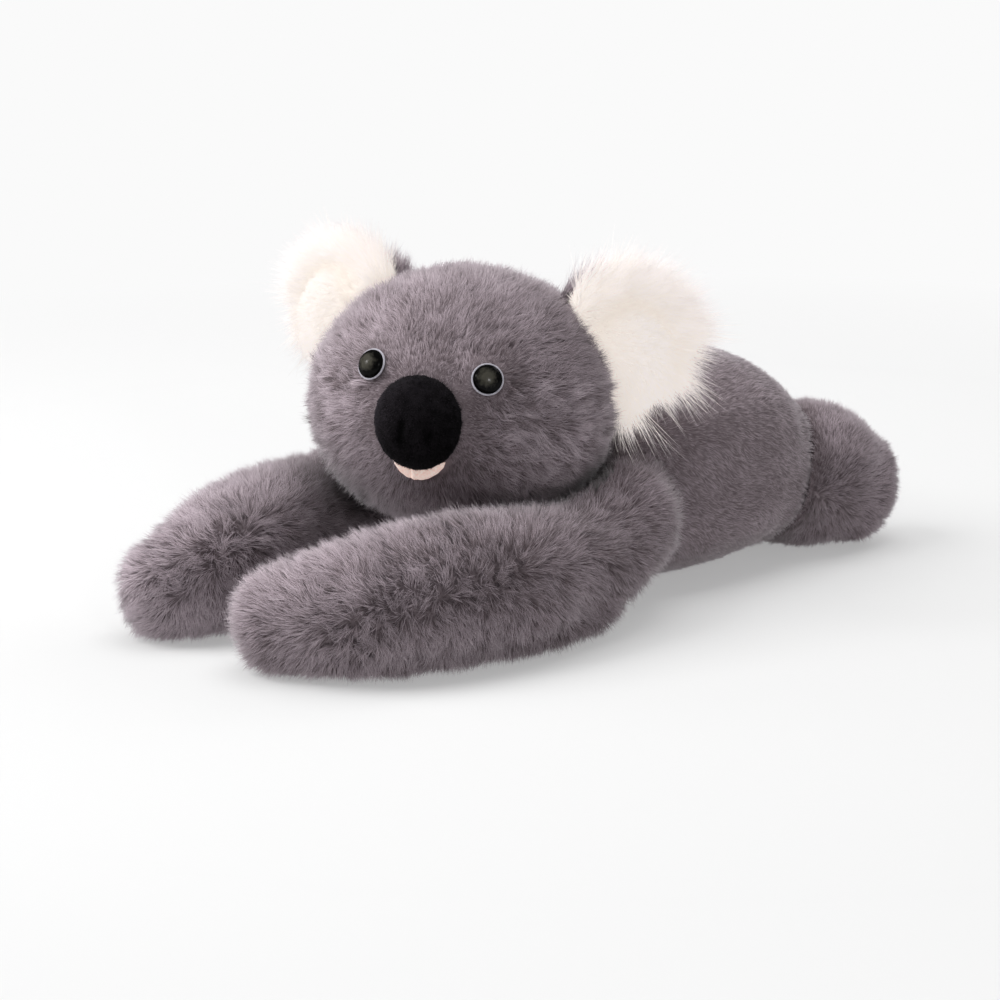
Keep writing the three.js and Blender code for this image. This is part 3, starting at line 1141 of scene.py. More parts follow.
@dataclass
class Limb:
    """A stuffed leg or foreleg whose pile grows away from a parting."""

    workshop: Workshop
    body: str
    seed: int
    coat: Coat
    pixels: Sequence[tuple[float, float]]
    root: Array
    pile: float
    dent: float
    dent_width: float
    # The dark field sets the painted shade in the parting's dent.
    dark: float = 0.03
    reach_out: float = 0.55
    crowded: Range = (2 * MM, 12 * MM)
    swollen: Range = (26 * MM, 50 * MM)
    overhung: Range = (4 * MM, 20 * MM)
    paw: Range = (60 * MM, 165 * MM)
    underside: Range = (12 * MM, 48 * MM)
    tousled: float = 9 * MM
    spots: Sequence[Spot] = ()
    swell: float = 0.0
    # The shade fields set painted shade beside the torso and under the head; the pale fields set
    # painted light towards the paw and low down.
    shade: float = 0.2
    head_shade: float = 0.36
    pale: float = 0.0
    low_pale: float = 0.0
    parting: Parting | None = None
    places: list[Array] = field(default_factory=list)

    def __post_init__(self) -> None:
        """Measures the room beside the torso and under the head."""
        self.room = self.workshop.beside(["torso_cover"])
        self.under = self.workshop.beside(["head_cover"])

    def from_spots(self, points: Array) -> list[tuple[Spot, Array]]:
        """Each spot, with how far the points lie from it."""
        gaps = (np.linalg.norm(points - place, axis=1) for place in self.places)
        return list(zip(self.spots, gaps))

    def depth(self, points: Array) -> Array:
        """How far the skin lies under the pile, with the dent along the parting."""
        free = step(self.room(points), *self.crowded)
        depth = self.pile * (0.3 + 0.7 * lifted(points, 12 * MM)) * (0.2 + 0.8 * free)
        depth -= self.swell * step(points[:, 2], *self.swollen) * free
        for spot, gap in self.from_spots(points):
            depth += spot.deep * bell(gap, spot.wide)
        return depth + self.dent * bell(self.parting.gap(points), self.dent_width)

    def keep(self, points: Array) -> Array:
        """The pile is thin under the toy and where the torso crowds it."""
        room = 0.5 + 0.5 * step(self.room(points), 0.5 * MM, 4 * MM)
        return off_the_ground(points) * room

    def flow(self, points: Array, normals: Array) -> Array:
        """Away from the parting and from the root, a little down, and tousled at the parting."""
        away = unit(points - self.parting.nearest(points))
        out = unit(points - self.root)
        near = bell(self.parting.gap(points), 1.1 * self.dent_width)[:, None]
        tousle = np.stack([Waves(self.tousled, self.seed + axis)(points) for axis in range(3)], 1)
        return away * (1 - near) + 1.2 * near * tousle + self.reach_out * out - 0.25 * UP

    def tint(self, points: Array) -> Array:
        """Painted shade in the parting, near the ground, beside the torso, under the head and at the
        spots, and painted light and shade along the limb: darker at the root and up high, paler at
        the paw and low down.
        """
        # painted shade in the dent of the parting
        dark = self.dark * bell(self.parting.gap(points), 1.2 * self.dent_width)
        # painted contact shadow near the ground
        low = 0.08 * (1 - lifted(points, 14 * MM))
        low += 0.3 * (1 - step(points[:, 2], 1 * MM, 5 * MM))
        # painted shade beside the torso, under the head and at the spots
        shade = self.shade * (1 - step(self.room(points), 1 * MM, 12 * MM))
        shade += self.head_shade * (1 - step(self.under(points), *self.overhung))
        for spot, gap in self.from_spots(points):
            shade += spot.darker * bell(gap, 1.4 * spot.wide)
        # painted light: paler towards the paw and low down, darker at the root and up high
        out = np.linalg.norm(points - self.root, axis=1)
        paler = self.pale * (step(out, *self.paw) - 0.4)
        paler += self.low_pale * (0.7 - step(points[:, 2], *self.underside))
        return paler - dark - low - shade

    def reach(self, points: Array) -> Array:
        """Shorter where the toy rests and beside the torso."""
        free = 0.55 + 0.45 * step(self.room(points), 1 * MM, 12 * MM)
        return (0.5 + 0.5 * lifted(points, 10 * MM)) * free

    def droop(self, points: Array) -> Array:
        """The pile stands up a little along the parting."""
        return 1 - 0.2 * bell(self.parting.gap(points), self.dent_width)

    def build(self, material: Material, pattern: Parting | None = None) -> Parting:
        """Makes the limb.

        Args:
            material: Its fur.
            pattern: A parting worked out on the limb of the other side.

        Returns:
            The limb's own parting.
        """
        nodes = [f"{self.body}_cover", f"{self.body}_filling"]
        view = self.workshop.view
        skin = self.workshop.skin(f"{self.body}_skin", nodes, 2.4 * MM)
        if pattern is None:
            self.parting = Parting(view.touch(skin, self.pixels))
        else:
            self.parting = pattern.mirrored()
        self.places = list(view.touch(skin, [(spot.across, spot.down) for spot in self.spots]))
        self.workshop.set_back(skin, self.depth)
        pelt = Pelt(skin, seed=self.seed)
        pelt.grow(self.coat, self.flow, self.keep, self.reach, self.tint, self.droop)
        piece = pelt.finish(self.body, material)
        self.workshop.settle(piece, self.body, "fur_grey", nodes, fill=0.7)
        return self.parting


@dataclass
class HeadAxes:
    """The head's own frame: its middle and its left, rear and crown directions."""

    middle: Array
    left: Array
    rear: Array
    crown: Array

    @classmethod
    def read(cls, workshop: Workshop) -> HeadAxes:
        """Works the axes out from the neck and ear joints."""
        across = workshop.pivot("ear_left_fold") - workshop.pivot("ear_right_fold")
        left = unit(np.array(across[:]))
        crown = unit(np.array(workshop.joints["ear_right_fold"]["axis"]))
        return cls(np.array(workshop.pivot("neck_turn")[:]), left, np.cross(crown, left), crown)

    def local(self, points: Array) -> Array:
        """Points in the head's own frame: left, rear and up."""
        return (points - self.middle) @ np.stack([self.left, self.rear, self.crown], 1)

    def spot(self, place: Vector) -> Array:
        """One place in the head's own frame."""
        return self.local(np.array([place[:]]))[0]

    def world(self, own: Array) -> Array:
        """A place of the head's own frame, back in the row frame."""
        return self.middle + own @ np.stack([self.left, self.rear, self.crown])


@dataclass
class Head:
    """The round head: pile that spreads from the nose, cut short round the eyes and nose."""

    workshop: Workshop
    axes: HeadAxes
    pile: float = 3.7 * MM
    crown_set: float = 1.8 * MM
    side_set: float = 2.4 * MM
    eye_clear: float = 6.4 * MM
    nose_clear: float = 16.5 * MM
    mouth_middle: Range = (1 * MM, -14.5 * MM)
    mouth_size: Range = (11.5 * MM, 8.0 * MM)
    near_eye: Range = (7 * MM, 17 * MM)
    near_nose: Range = (17 * MM, 34 * MM)
    crown_across: Range = (23 * MM, 42 * MM)
    crown_up: Range = (20 * MM, 46 * MM)
    side_across: Range = (34 * MM, 60 * MM)
    side_up: Range = (2 * MM, 26 * MM)
    cheek_across: Range = (18 * MM, 34 * MM)
    cheek_up: Range = (8 * MM, 28 * MM)
    chin_up: Range = (-50 * MM, -26 * MM)
    coat: Coat = Coat(
        112000, 6.8 * MM, 0.38 * MM, (44.0, 52.0), per_clump=8, gather=0.12, swirl=24.0,
        swirl_size=17 * MM, scatter=0.26, tone=0.4, tone_clump=0.06, tone_strand=0.12,
        tone_slow=0.06, softness=0.87,
    )
    streaks: Coat = Coat(
        74000, 9.5 * MM, 0.42 * MM, (48.0, 58.0), per_clump=20, gather=0.58, swirl=28.0,
        swirl_size=12 * MM, stray=14.0, tone=0.42, tone_clump=0.6, tone_strand=0.36,
        softness=0.6,
    )
    guard: Coat = Coat(10000, 9.0 * MM, 0.3 * MM, (38.0, 46.0), scatter=0.3, tone=0.6)

    def __post_init__(self) -> None:
        """Finds the eyes and the nose in the head's own frame."""
        rims = [self.workshop.middle(f"eye_rim_{side.word}") for side in Side]
        self.eyes = [self.axes.spot(rim) for rim in rims]
        self.nose = self.axes.spot(self.workshop.middle("nose_cover"))

    def eye_gap(self, own: Array) -> Array:
        """How far places in the head's own frame lie from the nearer eye's middle."""
        return np.minimum(*(np.linalg.norm(own - at, axis=1) for at in self.eyes))

    def gaps(self, own: Array) -> tuple[Array, Array]:
        """How far places on the face lie from the nearer eye and from the nose's axis."""
        nose = np.hypot(own[:, 0] - self.nose[0], own[:, 2] - self.nose[2])
        return self.eye_gap(own), np.where(own[:, 1] < 0, nose, 1.0)

    def near(self, own: Array) -> Array:
        """One beside the eyes and the nose, falling to zero further off."""
        eye, nose = self.gaps(own)
        beside_eye = 1 - step(eye, *self.near_eye)
        return np.maximum(beside_eye, 1 - step(nose, *self.near_nose))

    def depth(self, points: Array) -> Array:
        """How far the skin lies under the pile, most on the crown and low on the left side."""
        own = self.axes.local(points)
        crown = 1 - step(np.abs(own[:, 0] + 6 * MM), *self.crown_across)
        crown = step(own[:, 2], *self.crown_up) * crown
        side = step(own[:, 0], *self.side_across) * (1 - step(own[:, 2], *self.side_up))
        more = self.crown_set * crown + self.side_set * side
        return self.pile * (1 - 0.68 * self.near(own)) + more

    def keep(self, points: Array) -> Array:
        """No pile grows under the eyes, the nose or the mouth."""
        own = self.axes.local(points)
        eye, nose = self.gaps(own)
        off = (own[:, [0, 2]] - self.mouth_middle) / self.mouth_size
        mouth = np.hypot(off[:, 0], off[:, 1])
        clear = (eye > self.eye_clear) & (nose > self.nose_clear)
        return (clear & ((mouth > 1) | (own[:, 1] > 0))).astype(float)

    def cheeks(self, points: Array) -> Array:
        """Where the longer streaks of the cheeks grow."""
        own = self.axes.local(points)
        beside = step(np.abs(own[:, 0]), *self.cheek_across) * (own[:, 1] < 15 * MM)
        return self.keep(points) * beside * (1 - step(own[:, 2], *self.cheek_up))

    def flow(self, points: Array, normals: Array) -> Array:
        """Away from the nose, round the eyes, and back and down behind the cheeks."""
        away = unit(points - self.axes.world(self.nose))
        for at in self.eyes:
            off = points - self.axes.world(at)
            gap = np.linalg.norm(off, axis=1, keepdims=True)
            away += 1.3 * bell(gap, 11 * MM) * unit(off)
        far = self.eye_gap(self.axes.local(points)) > 30 * MM
        return away + 0.35 * self.axes.rear * far[:, None] - 0.15 * UP

    def reach(self, points: Array) -> Array:
        """Short beside the eyes and the nose."""
        return 1 - 0.6 * self.near(self.axes.local(points))

    def tint(self, points: Array) -> Array:
        """Darker in the hollow beside each eye and round the nose, a painted shade, and paler under
        the chin.
        """
        own = self.axes.local(points)
        eye, nose = self.gaps(own)
        chin = 0.24 * (1 - step(own[:, 2], *self.chin_up))
        # painted shade in the hollows round the eyes and the nose
        hollow = 0.16 * bell(eye - self.eye_clear, 5 * MM)
        hollow += 0.10 * bell(nose - self.nose_clear, 7 * MM)
        return chin - hollow

    def build(self, material: Material) -> None:
        """Makes the head."""
        nodes = ["head_cover", "head_filling"]
        skin = self.workshop.skin("head_skin", nodes[:1], 2.4 * MM, hull=True)
        self.workshop.set_back(skin, self.depth)
        pelt = Pelt(skin, seed=211)
        for coat, keep in (
            (self.coat, self.keep), (self.guard, self.keep), (self.streaks, self.cheeks)
        ):
            pelt.grow(coat, self.flow, keep, self.reach, self.tint)
        piece = pelt.finish("head", material)
        self.workshop.settle(piece, "head", "fur_grey", nodes, fill=0.85)


@dataclass
class Ear:
    """A wadded ear: a white front with a long fringe, and a grey back."""

    workshop: Workshop
    axes: HeadAxes
    side: Side
    seed: int
    radius: float = 38 * MM
    pile: float = 2.2 * MM
    tuck: float = 9 * MM
    draw: float = 0.06
    pinch: float = 17 * MM
    bulge: float = 2.2 * MM
    crease_top: float = 21.5 * MM
    crease_fall: float = 8 * MM
    crease_depth: float = 1.3 * MM
    fringe_edge: Range = (0.6, 0.82)
    wisps_edge: Range = (0.66, 0.8)
    tuft_edge: Range = (0.4, 0.6)
    back_edge: Range = (0.5, 0.85)
    rim_edge: Range = (0.6, 0.95)
    inner: Coat = Coat(
        22000, 5.0 * MM, 0.5 * MM, (58.0, 62.0), lean_spread=5.0, gather=0.1, swirl=8.0,
        crest=0.62, tone=0.7, tone_clump=0.06, tone_strand=0.08,
    )
    fringe: Coat = Coat(
        46000, 15.5 * MM, 0.2 * MM, (68.0, 74.0), lean_spread=10.0, per_clump=10, gather=0.3,
        swirl_size=16 * MM, stray=12.0, scatter=0.22, uneven=0.2, free=True, tone=0.72,
        tone_clump=0.2, tone_strand=0.26,
    )
    wisps: Coat = Coat(
        12000, 19.0 * MM, 0.2 * MM, (60.0, 86.0), lean_spread=8.0, per_clump=10, gather=0.4,
        swirl=24.0, swirl_size=12 * MM, stray=16.0, scatter=0.22, uneven=0.2, spans=2,
        free=True, tone=0.7,
    )
    tuft: Coat = Coat(26000, 15 * MM, 0.2 * MM, (74.0, 84.0), gather=0.3, free=True, tone=0.8)
    back: Coat = Coat(10000, 7 * MM, 0.6 * MM, (42.0, 52.0))

    def __post_init__(self) -> None:
        """Reads the ear's root and the way that its front faces."""
        word = self.side.word
        self.root = np.array(self.workshop.pivot(f"ear_{word}_fold")[:])
        wadding = self.workshop.frame["nodes"][f"ear_wadding_{word}"].data
        points = numbers(wadding.vertices, "co", 3)
        thin = np.linalg.svd(points - points.mean(0), full_matrices=False)[2][2]
        self.front = thin if thin @ self.axes.rear < 0 else -thin
        self.out = unit(np.cross(self.axes.crown, self.front))
        if self.out @ (self.axes.left * self.side.value) < 0:
            self.out = -self.out

    def local(self, points: Array) -> Array:
        """Points in the ear's own frame: outward, forward and up."""
        return (points - self.root) @ np.stack([self.out, self.front, self.axes.crown], 1)

    def flat(self, points: Array, centre: Array) -> Array:
        """The way from a centre to each place, laid in the ear's own plane."""
        off = points - centre
        return off - (off @ self.front)[:, None] * self.front

    def crease(self, own: Array) -> Array:
        """One along the crease that arches over the ear's smooth bulge."""
        arch = self.crease_top - self.crease_fall * ((own[:, 0] - 5 * MM) / (14 * MM)) ** 2
        inside = (own[:, 1] > 0) * step(own[:, 2], 0.0, 12 * MM)
        return bell(own[:, 2] - arch, 3.6 * MM) * inside

    def reach_share(self, points: Array) -> Array:
        """How far out in the ear each place lies, as a share of its radius."""
        return np.linalg.norm(self.flat(points, self.root), axis=1) / self.radius

    def flow(self, points: Array, normals: Array) -> Array:
        """Combed outwards from a place beside the head, and hanging low down."""
        centre = self.root - 30 * MM * self.out + 6 * MM * self.axes.crown
        low = 1 - step(self.local(points)[:, 2], -24 * MM, 10 * MM)
        way = unit(self.flat(points, centre)) + 0.15 * self.front
        return way - 1.1 * low[:, None] * self.axes.crown

    def corner(self, points: Array) -> Array:
        """One at the inner top corner, where the ear's back meets the top of the head."""
        own = self.local(points)
        inner = own[:, 0] + self.side.pick(0.0, 8 * MM)
        return step(own[:, 2], 4 * MM, 12 * MM) * (1 - step(inner, -20 * MM, -8 * MM))

    def fringe_keep(self, points: Array) -> Array:
        """The fringe grows along the ear's edge."""
        return step(self.reach_share(points), *self.fringe_edge) * (1 - 0.4 * self.corner(points))

    def fringe_reach(self, points: Array) -> Array:
        """Longest at the very edge, shorter low outside, and shorter on the right ear."""
        own = self.local(points)
        low = step(own[:, 0], 6 * MM, 16 * MM) * (1 - step(own[:, 2], -14 * MM, 8 * MM))
        most = (1 - 0.3 * low) * self.side.pick(1, 0.75)
        return (0.6 + 0.4 * step(self.reach_share(points), *self.fringe_edge)) * most

    def wisps_keep(self, points: Array) -> Array:
        """Longer wisps hang at the outer edge."""
        outer = step(self.local(points)[:, 0], -6 * MM, 12 * MM)
        return step(self.reach_share(points), *self.wisps_edge) * outer

    def wisps_reach(self, points: Array) -> Array:
        """The wisps are shorter towards the top, and on the right ear."""
        high = step(self.local(points)[:, 2], 4 * MM, 26 * MM)
        return self.side.pick(1, 0.65) - 0.25 * high

    def back_reach(self, points: Array) -> Array:
        """The grey back stops short of the white fringe."""
        return 1 - 0.75 * step(self.reach_share(points), *self.back_edge)

    def front_tint(self, points: Array) -> Array:
        """Creamier and darker towards the head and in the crease, a painted shade, and whitest down
        the middle of the bulge, a painted highlight.
        """
        own = self.local(points)
        # painted highlight down the middle of the bulge
        white = 0.3 * bell(own[:, 0] - 14 * MM, 8 * MM) * (own[:, 2] < self.crease_top - 6 * MM)
        # painted shade towards the head and in the crease
        return white - 0.4 * (1 - step(own[:, 0], -14 * MM, 12 * MM)) - 0.7 * self.crease(own)

    def tuft_keep(self, points: Array) -> Array:
        """The tuft grows along the edge of the inner top corner."""
        return self.corner(points) * step(self.reach_share(points), *self.tuft_edge)

    def tuft_reach(self, points: Array) -> Array:
        """The right ear's tuft is shorter."""
        return np.full(len(points), self.side.pick(1.0, 0.6))

    def tuft_flow(self, points: Array, normals: Array) -> Array:
        """Up, and outward on the left ear."""
        return self.axes.crown + self.side.pick(0.9, 0.0) * self.out

    def outward_only(self, way: Array) -> Field:
        """Keeps the strands that stand clear of the ear's cut middle plane."""
        return lambda points: ((points - self.root) @ way > 0.25 * MM).astype(float)

    def depth(self, points: Array) -> Array:
        """How far the skin lies under the pile, with the crease and the bulge below it."""
        own = self.local(points)
        gap = np.hypot(own[:, 0] - 6 * MM, (own[:, 2] + 4 * MM) / 1.4)
        round_out = self.bulge * bell(gap, 14 * MM) * (own[:, 1] > 0)
        return self.pile + self.crease_depth * self.crease(own) - round_out

    def tucked_in(self, points: Array, normals: Array) -> Array:
        """The side that faces the head, pushed in under the head's pile."""
        facing = -normals @ self.out
        share = step(facing, 0.1, 0.5) * (1 - step(self.reach_share(points), 0.75, 0.95))
        return points - self.tuck * share[:, None] * self.out

    def drawn_in(self, points: Array, normals: Array) -> Array:
        """The rim, drawn in to leave the ear's outline to the fringe."""
        own = self.local(points)
        low = step(-own[:, 2], 12 * MM, 34 * MM)
        outer = step(own[:, 0], 8 * MM, 22 * MM) * (1 - step(own[:, 2], 2 * MM, 18 * MM))
        share = self.draw + 0.15 * low + 0.1 * outer
        share = share * step(self.reach_share(points), *self.rim_edge)
        return points - self.flat(points, self.root) * share[:, None]

    def cornered(self, points: Array, forward: bool) -> Array:
        """The inner top corner, shaped so that the grey back shows past the white front.

        Args:
            points: The points of the ear's whole skin.
            forward: Whether its front half is the one that stays.

        Returns:
            Where the points move to.
        """
        own = self.local(points)
        if self.side is Side.LEFT:
            along = -0.75 * forward * np.minimum(own[:, 0] + self.pinch, 0.0)
        else:
            along = -(2 * MM if forward else 6 * MM) * step(-own[:, 0], 6 * MM, 22 * MM)
        along = along * step(own[:, 2], 2 * MM, 12 * MM)
        return points + along[:, None] * self.out

    def half(self, forward: bool) -> Piece:
        """Makes the front or the back half of the ear's skin."""
        word, shop = self.side.word, self.workshop
        nodes = [f"ear_{layer}_{word}" for layer in ("front", "back", "wadding")]
        skin = shop.skin(f"ear_skin_{word}", nodes, 1.5 * MM, turns=5)
        shop.set_back(skin, self.depth)
        shop.move(skin, self.tucked_in)
        shop.move(skin, self.drawn_in)
        shop.move(skin, lambda points, normals: self.cornered(points, forward))
        with editing(skin):
            bpy.ops.mesh.bisect(
                plane_co=self.root,
                plane_no=self.front,
                use_fill=True,
                clear_inner=forward,
                clear_outer=not forward,
            )
        return skin

    def build(self, white: Material, grey: Material) -> None:
        """Makes the ear's front and back."""
        word, settle = self.side.word, self.workshop.settle
        inward = self.side.pick(-0.7, 1.3) * self.axes.left
        facing = 1.5 * unit(self.axes.crown - self.axes.rear + inward)
        pelt = Pelt(self.half(True), seed=self.seed, facing=facing)
        outer = self.outward_only(self.front)
        pelt.grow(self.inner, self.flow, tint=self.front_tint, keep=outer)
        pelt.grow(self.fringe, self.flow, keep=self.fringe_keep, reach=self.fringe_reach)
        pelt.grow(self.wisps, self.flow, keep=self.wisps_keep, reach=self.wisps_reach)
        piece = pelt.finish(f"ear_front_{word}_fur", white, tint=self.front_tint)
        nodes = [f"ear_front_{word}", f"ear_wadding_{word}"]
        settle(piece, f"ear_{word}", "fur_white", nodes, fill=0.4)
        pelt = Pelt(self.half(False), seed=self.seed + 50)
        inner = self.outward_only(-self.front)
        pelt.grow(self.back, self.flow, keep=inner, reach=self.back_reach)
        pelt.facing = facing
        pelt.grow(self.tuft, self.tuft_flow, keep=self.tuft_keep, reach=self.tuft_reach)
        piece = pelt.finish(f"ear_back_{word}_fur", grey)
        settle(piece, f"ear_{word}", "fur_grey", [f"ear_back_{word}"], fill=0.4)


@dataclass
class Eye:
    """A glossy domed eye on its shank, inside a felt ring."""

    workshop: Workshop
    side: Side
    radius: float = 6.2 * MM
    dome: float = 3.4 * MM
    lift: float = 0.3 * MM
    clear_spot: tuple[float, float, float] = (-0.4, -0.35, 0.5)
    shank_radius: float = 2 * MM
    shank: float = 10.7 * MM
    ring_radius: float = 6.45 * MM
    ring_width: float = 0.9 * MM

    def build(self) -> None:
        """Makes the eye over its ring."""
        word = self.side.word
        ring = self.workshop.middle(f"eye_rim_{word}")
        axis = (ring - self.workshop.middle(f"eye_washer_{word}")).normalized()
        centre = ring + axis * self.lift
        deselect()
        bpy.ops.mesh.primitive_uv_sphere_add(segments=48, ring_count=32, radius=self.radius)
        piece = bpy.context.object
        piece.name = f"eye_{word}_dome"
        with editing(piece):
            bpy.ops.transform.resize(value=(1, 1, self.dome / self.radius))
            bpy.ops.mesh.bisect(
                plane_co=(0, 0, 0), plane_no=(0, 0, 1), use_fill=True, clear_inner=True
            )
            bpy.ops.mesh.inset(thickness=self.radius - self.shank_radius, depth=0)
            bpy.ops.mesh.extrude_region_move(
                TRANSFORM_OT_translate={"value": (0, 0, -self.shank)}
            )
            bpy.ops.mesh.select_all(action="SELECT")
            bpy.ops.mesh.normals_make_consistent(inside=False)
        bpy.ops.object.shade_smooth_by_angle(angle=math.radians(50))
        piece.rotation_mode = "QUATERNION"
        piece.rotation_quaternion = axis.to_track_quat("Z", "Y")
        piece.location = centre
        bpy.ops.object.transform_apply(location=True, rotation=True, scale=True)
        # The lighter middle is set off the eye's axis toward the upper left: partly the iris, partly
        # a painted reflection.
        spot = centre + Vector(self.clear_spot) * MM
        name = f"glossy_eye_{word}"
        finish = EyeFinish(name, EYE_MIDDLE, EYE_RIM, spot, axis, self.radius)
        piece.data.materials.append(finish.material())
        self.workshop.settle(piece, "head", "glossy_eye", [f"eye_{word}"])
        self._ring(word, ring, axis)

    def _ring(self, word: str, ring: Vector, axis: Vector) -> None:
        """Makes the narrow round-edged ring of felt under the eye."""
        deselect()
        bpy.ops.mesh.primitive_torus_add(
            major_segments=64,
            minor_segments=14,
            major_radius=self.ring_radius,
            minor_radius=self.ring_width / 2,
            location=ring,
            rotation=axis.to_track_quat("Z", "Y").to_euler(),
        )
        piece = bpy.context.object
        piece.name = f"eye_{word}_ring"
        bpy.ops.object.shade_smooth()
        bpy.ops.object.transform_apply(location=True, rotation=True, scale=True)
        piece.data.materials.append(RIM_FELT.material())
        self.workshop.settle(piece, "head", "rim_felt", [f"eye_rim_{word}"])


@dataclass
class Nose:
    """The stuffed velvet nose with its two nostril dents."""

    workshop: Workshop
    axes: HeadAxes
    half: float = 20 * MM
    widen: float = 0.07
    egg: float = 0.02
    shift: float = 1.0 * MM
    drop: float = 1.4 * MM
    lengthen: float = 0.04
    velvet: float = 0.3 * MM
    nostril_spacing: float = 13.5 * MM
    nostril_shift: float = 1.5 * MM
    nostril_drop: float = 3.0 * MM
    nostril_depth: float = 1.5 * MM
    nostril_width: float = 4.0 * MM
    fuzz: Coat = Coat(
        22000, 1.3 * MM, 0.32 * MM, (40.0, 50.0), lean_spread=10.0, swirl=30.0, tone=0.2,
        tone_clump=0.08, tone_strand=0.3, tone_slow=0.08,
    )

    def __post_init__(self) -> None:
        """Finds the nose's middle in the head's own frame."""
        self.middle = self.axes.spot(self.workshop.middle("nose_cover"))

    def depth(self, points: Array) -> Array:
        """How far the skin lies under the velvet, with the two dents."""
        own = self.axes.local(points)
        depth = np.full(len(points), self.velvet)
        down = (own[:, 2] - self.middle[2] + self.nostril_drop) / 1.5
        for side in Side:
            across = own[:, 0] - self.nostril_shift - side.value * self.nostril_spacing / 2
            dent = self.nostril_depth * bell(np.hypot(across / 0.6, down), self.nostril_width)
            depth += dent * (own[:, 1] < self.middle[1])
        return depth

    def tint(self, points: Array) -> Array:
        """Darker in the nostrils, a painted shade, and paler above and on the right, most at that
        rim: painted light and a painted sheen on the side the light falls on.
        """
        own = self.axes.local(points)
        up = (own[:, 2] - self.middle[2]) / self.half
        aside = (own[:, 0] - self.middle[0]) / self.half
        across = np.abs(own[:, 0] - self.nostril_shift) - self.nostril_spacing / 2
        tall = bell(own[:, 2] - self.middle[2] + self.nostril_drop, 8 * MM)
        # painted light: paler above and towards the toy's right, with a painted sheen at that rim
        worn = 0.12 * up - 0.22 * aside + 0.5 * step(-aside, 0.6, 0.95)
        # painted shade in the nostrils, stronger on the toy's right
        nostril_shade = np.where(aside < 0, 0.6, 0.2) * tall * bell(across + 1 * MM, 2.0 * MM)
        return worn - nostril_shade

    def rounded(self, points: Array, normals: Array) -> Array:
        """The nose's egg shape, wider above its middle."""
        own = self.axes.local(points)
        up = ((own[:, 2] - self.middle[2]) / self.half).clip(-1, 1)
        wider = (self.widen + self.egg * up) * (own[:, 0] - self.middle[0]) - self.shift
        lower = self.drop + self.lengthen * np.maximum(self.middle[2] - own[:, 2], 0.0)
        return points + wider[:, None] * self.axes.left - lower[:, None] * self.axes.crown

    def flow(self, points: Array, normals: Array) -> Array:
        """Down and back from the nose's front."""
        return self.axes.rear * 0.6 - self.axes.crown

    def build(self) -> None:
        """Makes the nose."""
        shop = self.workshop
        nodes = ["nose_cover", "nose_filling"]
        skin = shop.skin("nose_skin", nodes[:1], 0.9 * MM, turns=20, hull=True)
        shop.move(skin, self.rounded)
        shop.set_back(skin, self.depth)
        pelt = Pelt(skin, seed=307)
        pelt.grow(self.fuzz, self.flow, tint=self.tint)
        piece = pelt.finish("nose", NOSE_VELVET.material(), tint=self.tint)
        shop.settle(piece, "head", "nose_velvet", nodes, fill=0.9)


@dataclass
class Mouth:
    """The felt patch under the nose, with a fold down its middle."""

    workshop: Workshop
    axes: HeadAxes
    fold: float = 1.2 * MM
    fold_width: float = 1.6 * MM
    fold_shift: float = 1 * MM
    shift: float = 1.2 * MM
    lower: float = 0.7 * MM
    taper: float = 2700.0

    def depth(self, points: Array) -> Array:
        """The fold down the middle."""
        own = self.axes.local(points)
        return self.fold * bell(own[:, 0] + self.fold_shift, self.fold_width)

    def spread(self, points: Array, normals: Array) -> Array:
        """The patch made wider, most to the left, where it tapers upwards."""
        own = self.axes.local(points)
        left = np.maximum(own[:, 0], 0.0)
        wider = 0.2 * left - 0.07 * own[:, 0] - self.shift
        raised = self.taper * left**2 * (own[:, 2].max() - own[:, 2]) - self.lower
        return points + wider[:, None] * self.axes.left + raised[:, None] * self.axes.crown

    def build(self) -> None:
        """Makes the mouth."""
        shop = self.workshop
        piece = shop.skin("mouth", ["mouth_patch"], 0.35 * MM, turns=10)
        shop.set_back(piece, self.depth)
        shop.move(piece, self.spread)
        piece.data.shade_smooth()
        piece.data.materials.append(MOUTH_FELT.material())
        shop.settle(piece, "head", "mouth_felt", ["mouth_patch"])


@dataclass(frozen=True)
class Lamp:
    """A round soft lamp that faces the toy, and that glossy pieces mirror where it glints."""

    name: str
    place: tuple[float, float, float]
    size: float
    power: float
    glint: bool = True

    def add(self) -> None:
        """Adds the lamp to the scene."""
        data = bpy.data.lights.new(self.name, "AREA")
        data.shape = "DISK"
        data.size = self.size
        data.energy = self.power
        lamp = put(self.name, data)
        aim(lamp, self.place, LAMP_TARGET)
        lamp.visible_glossy = self.glint


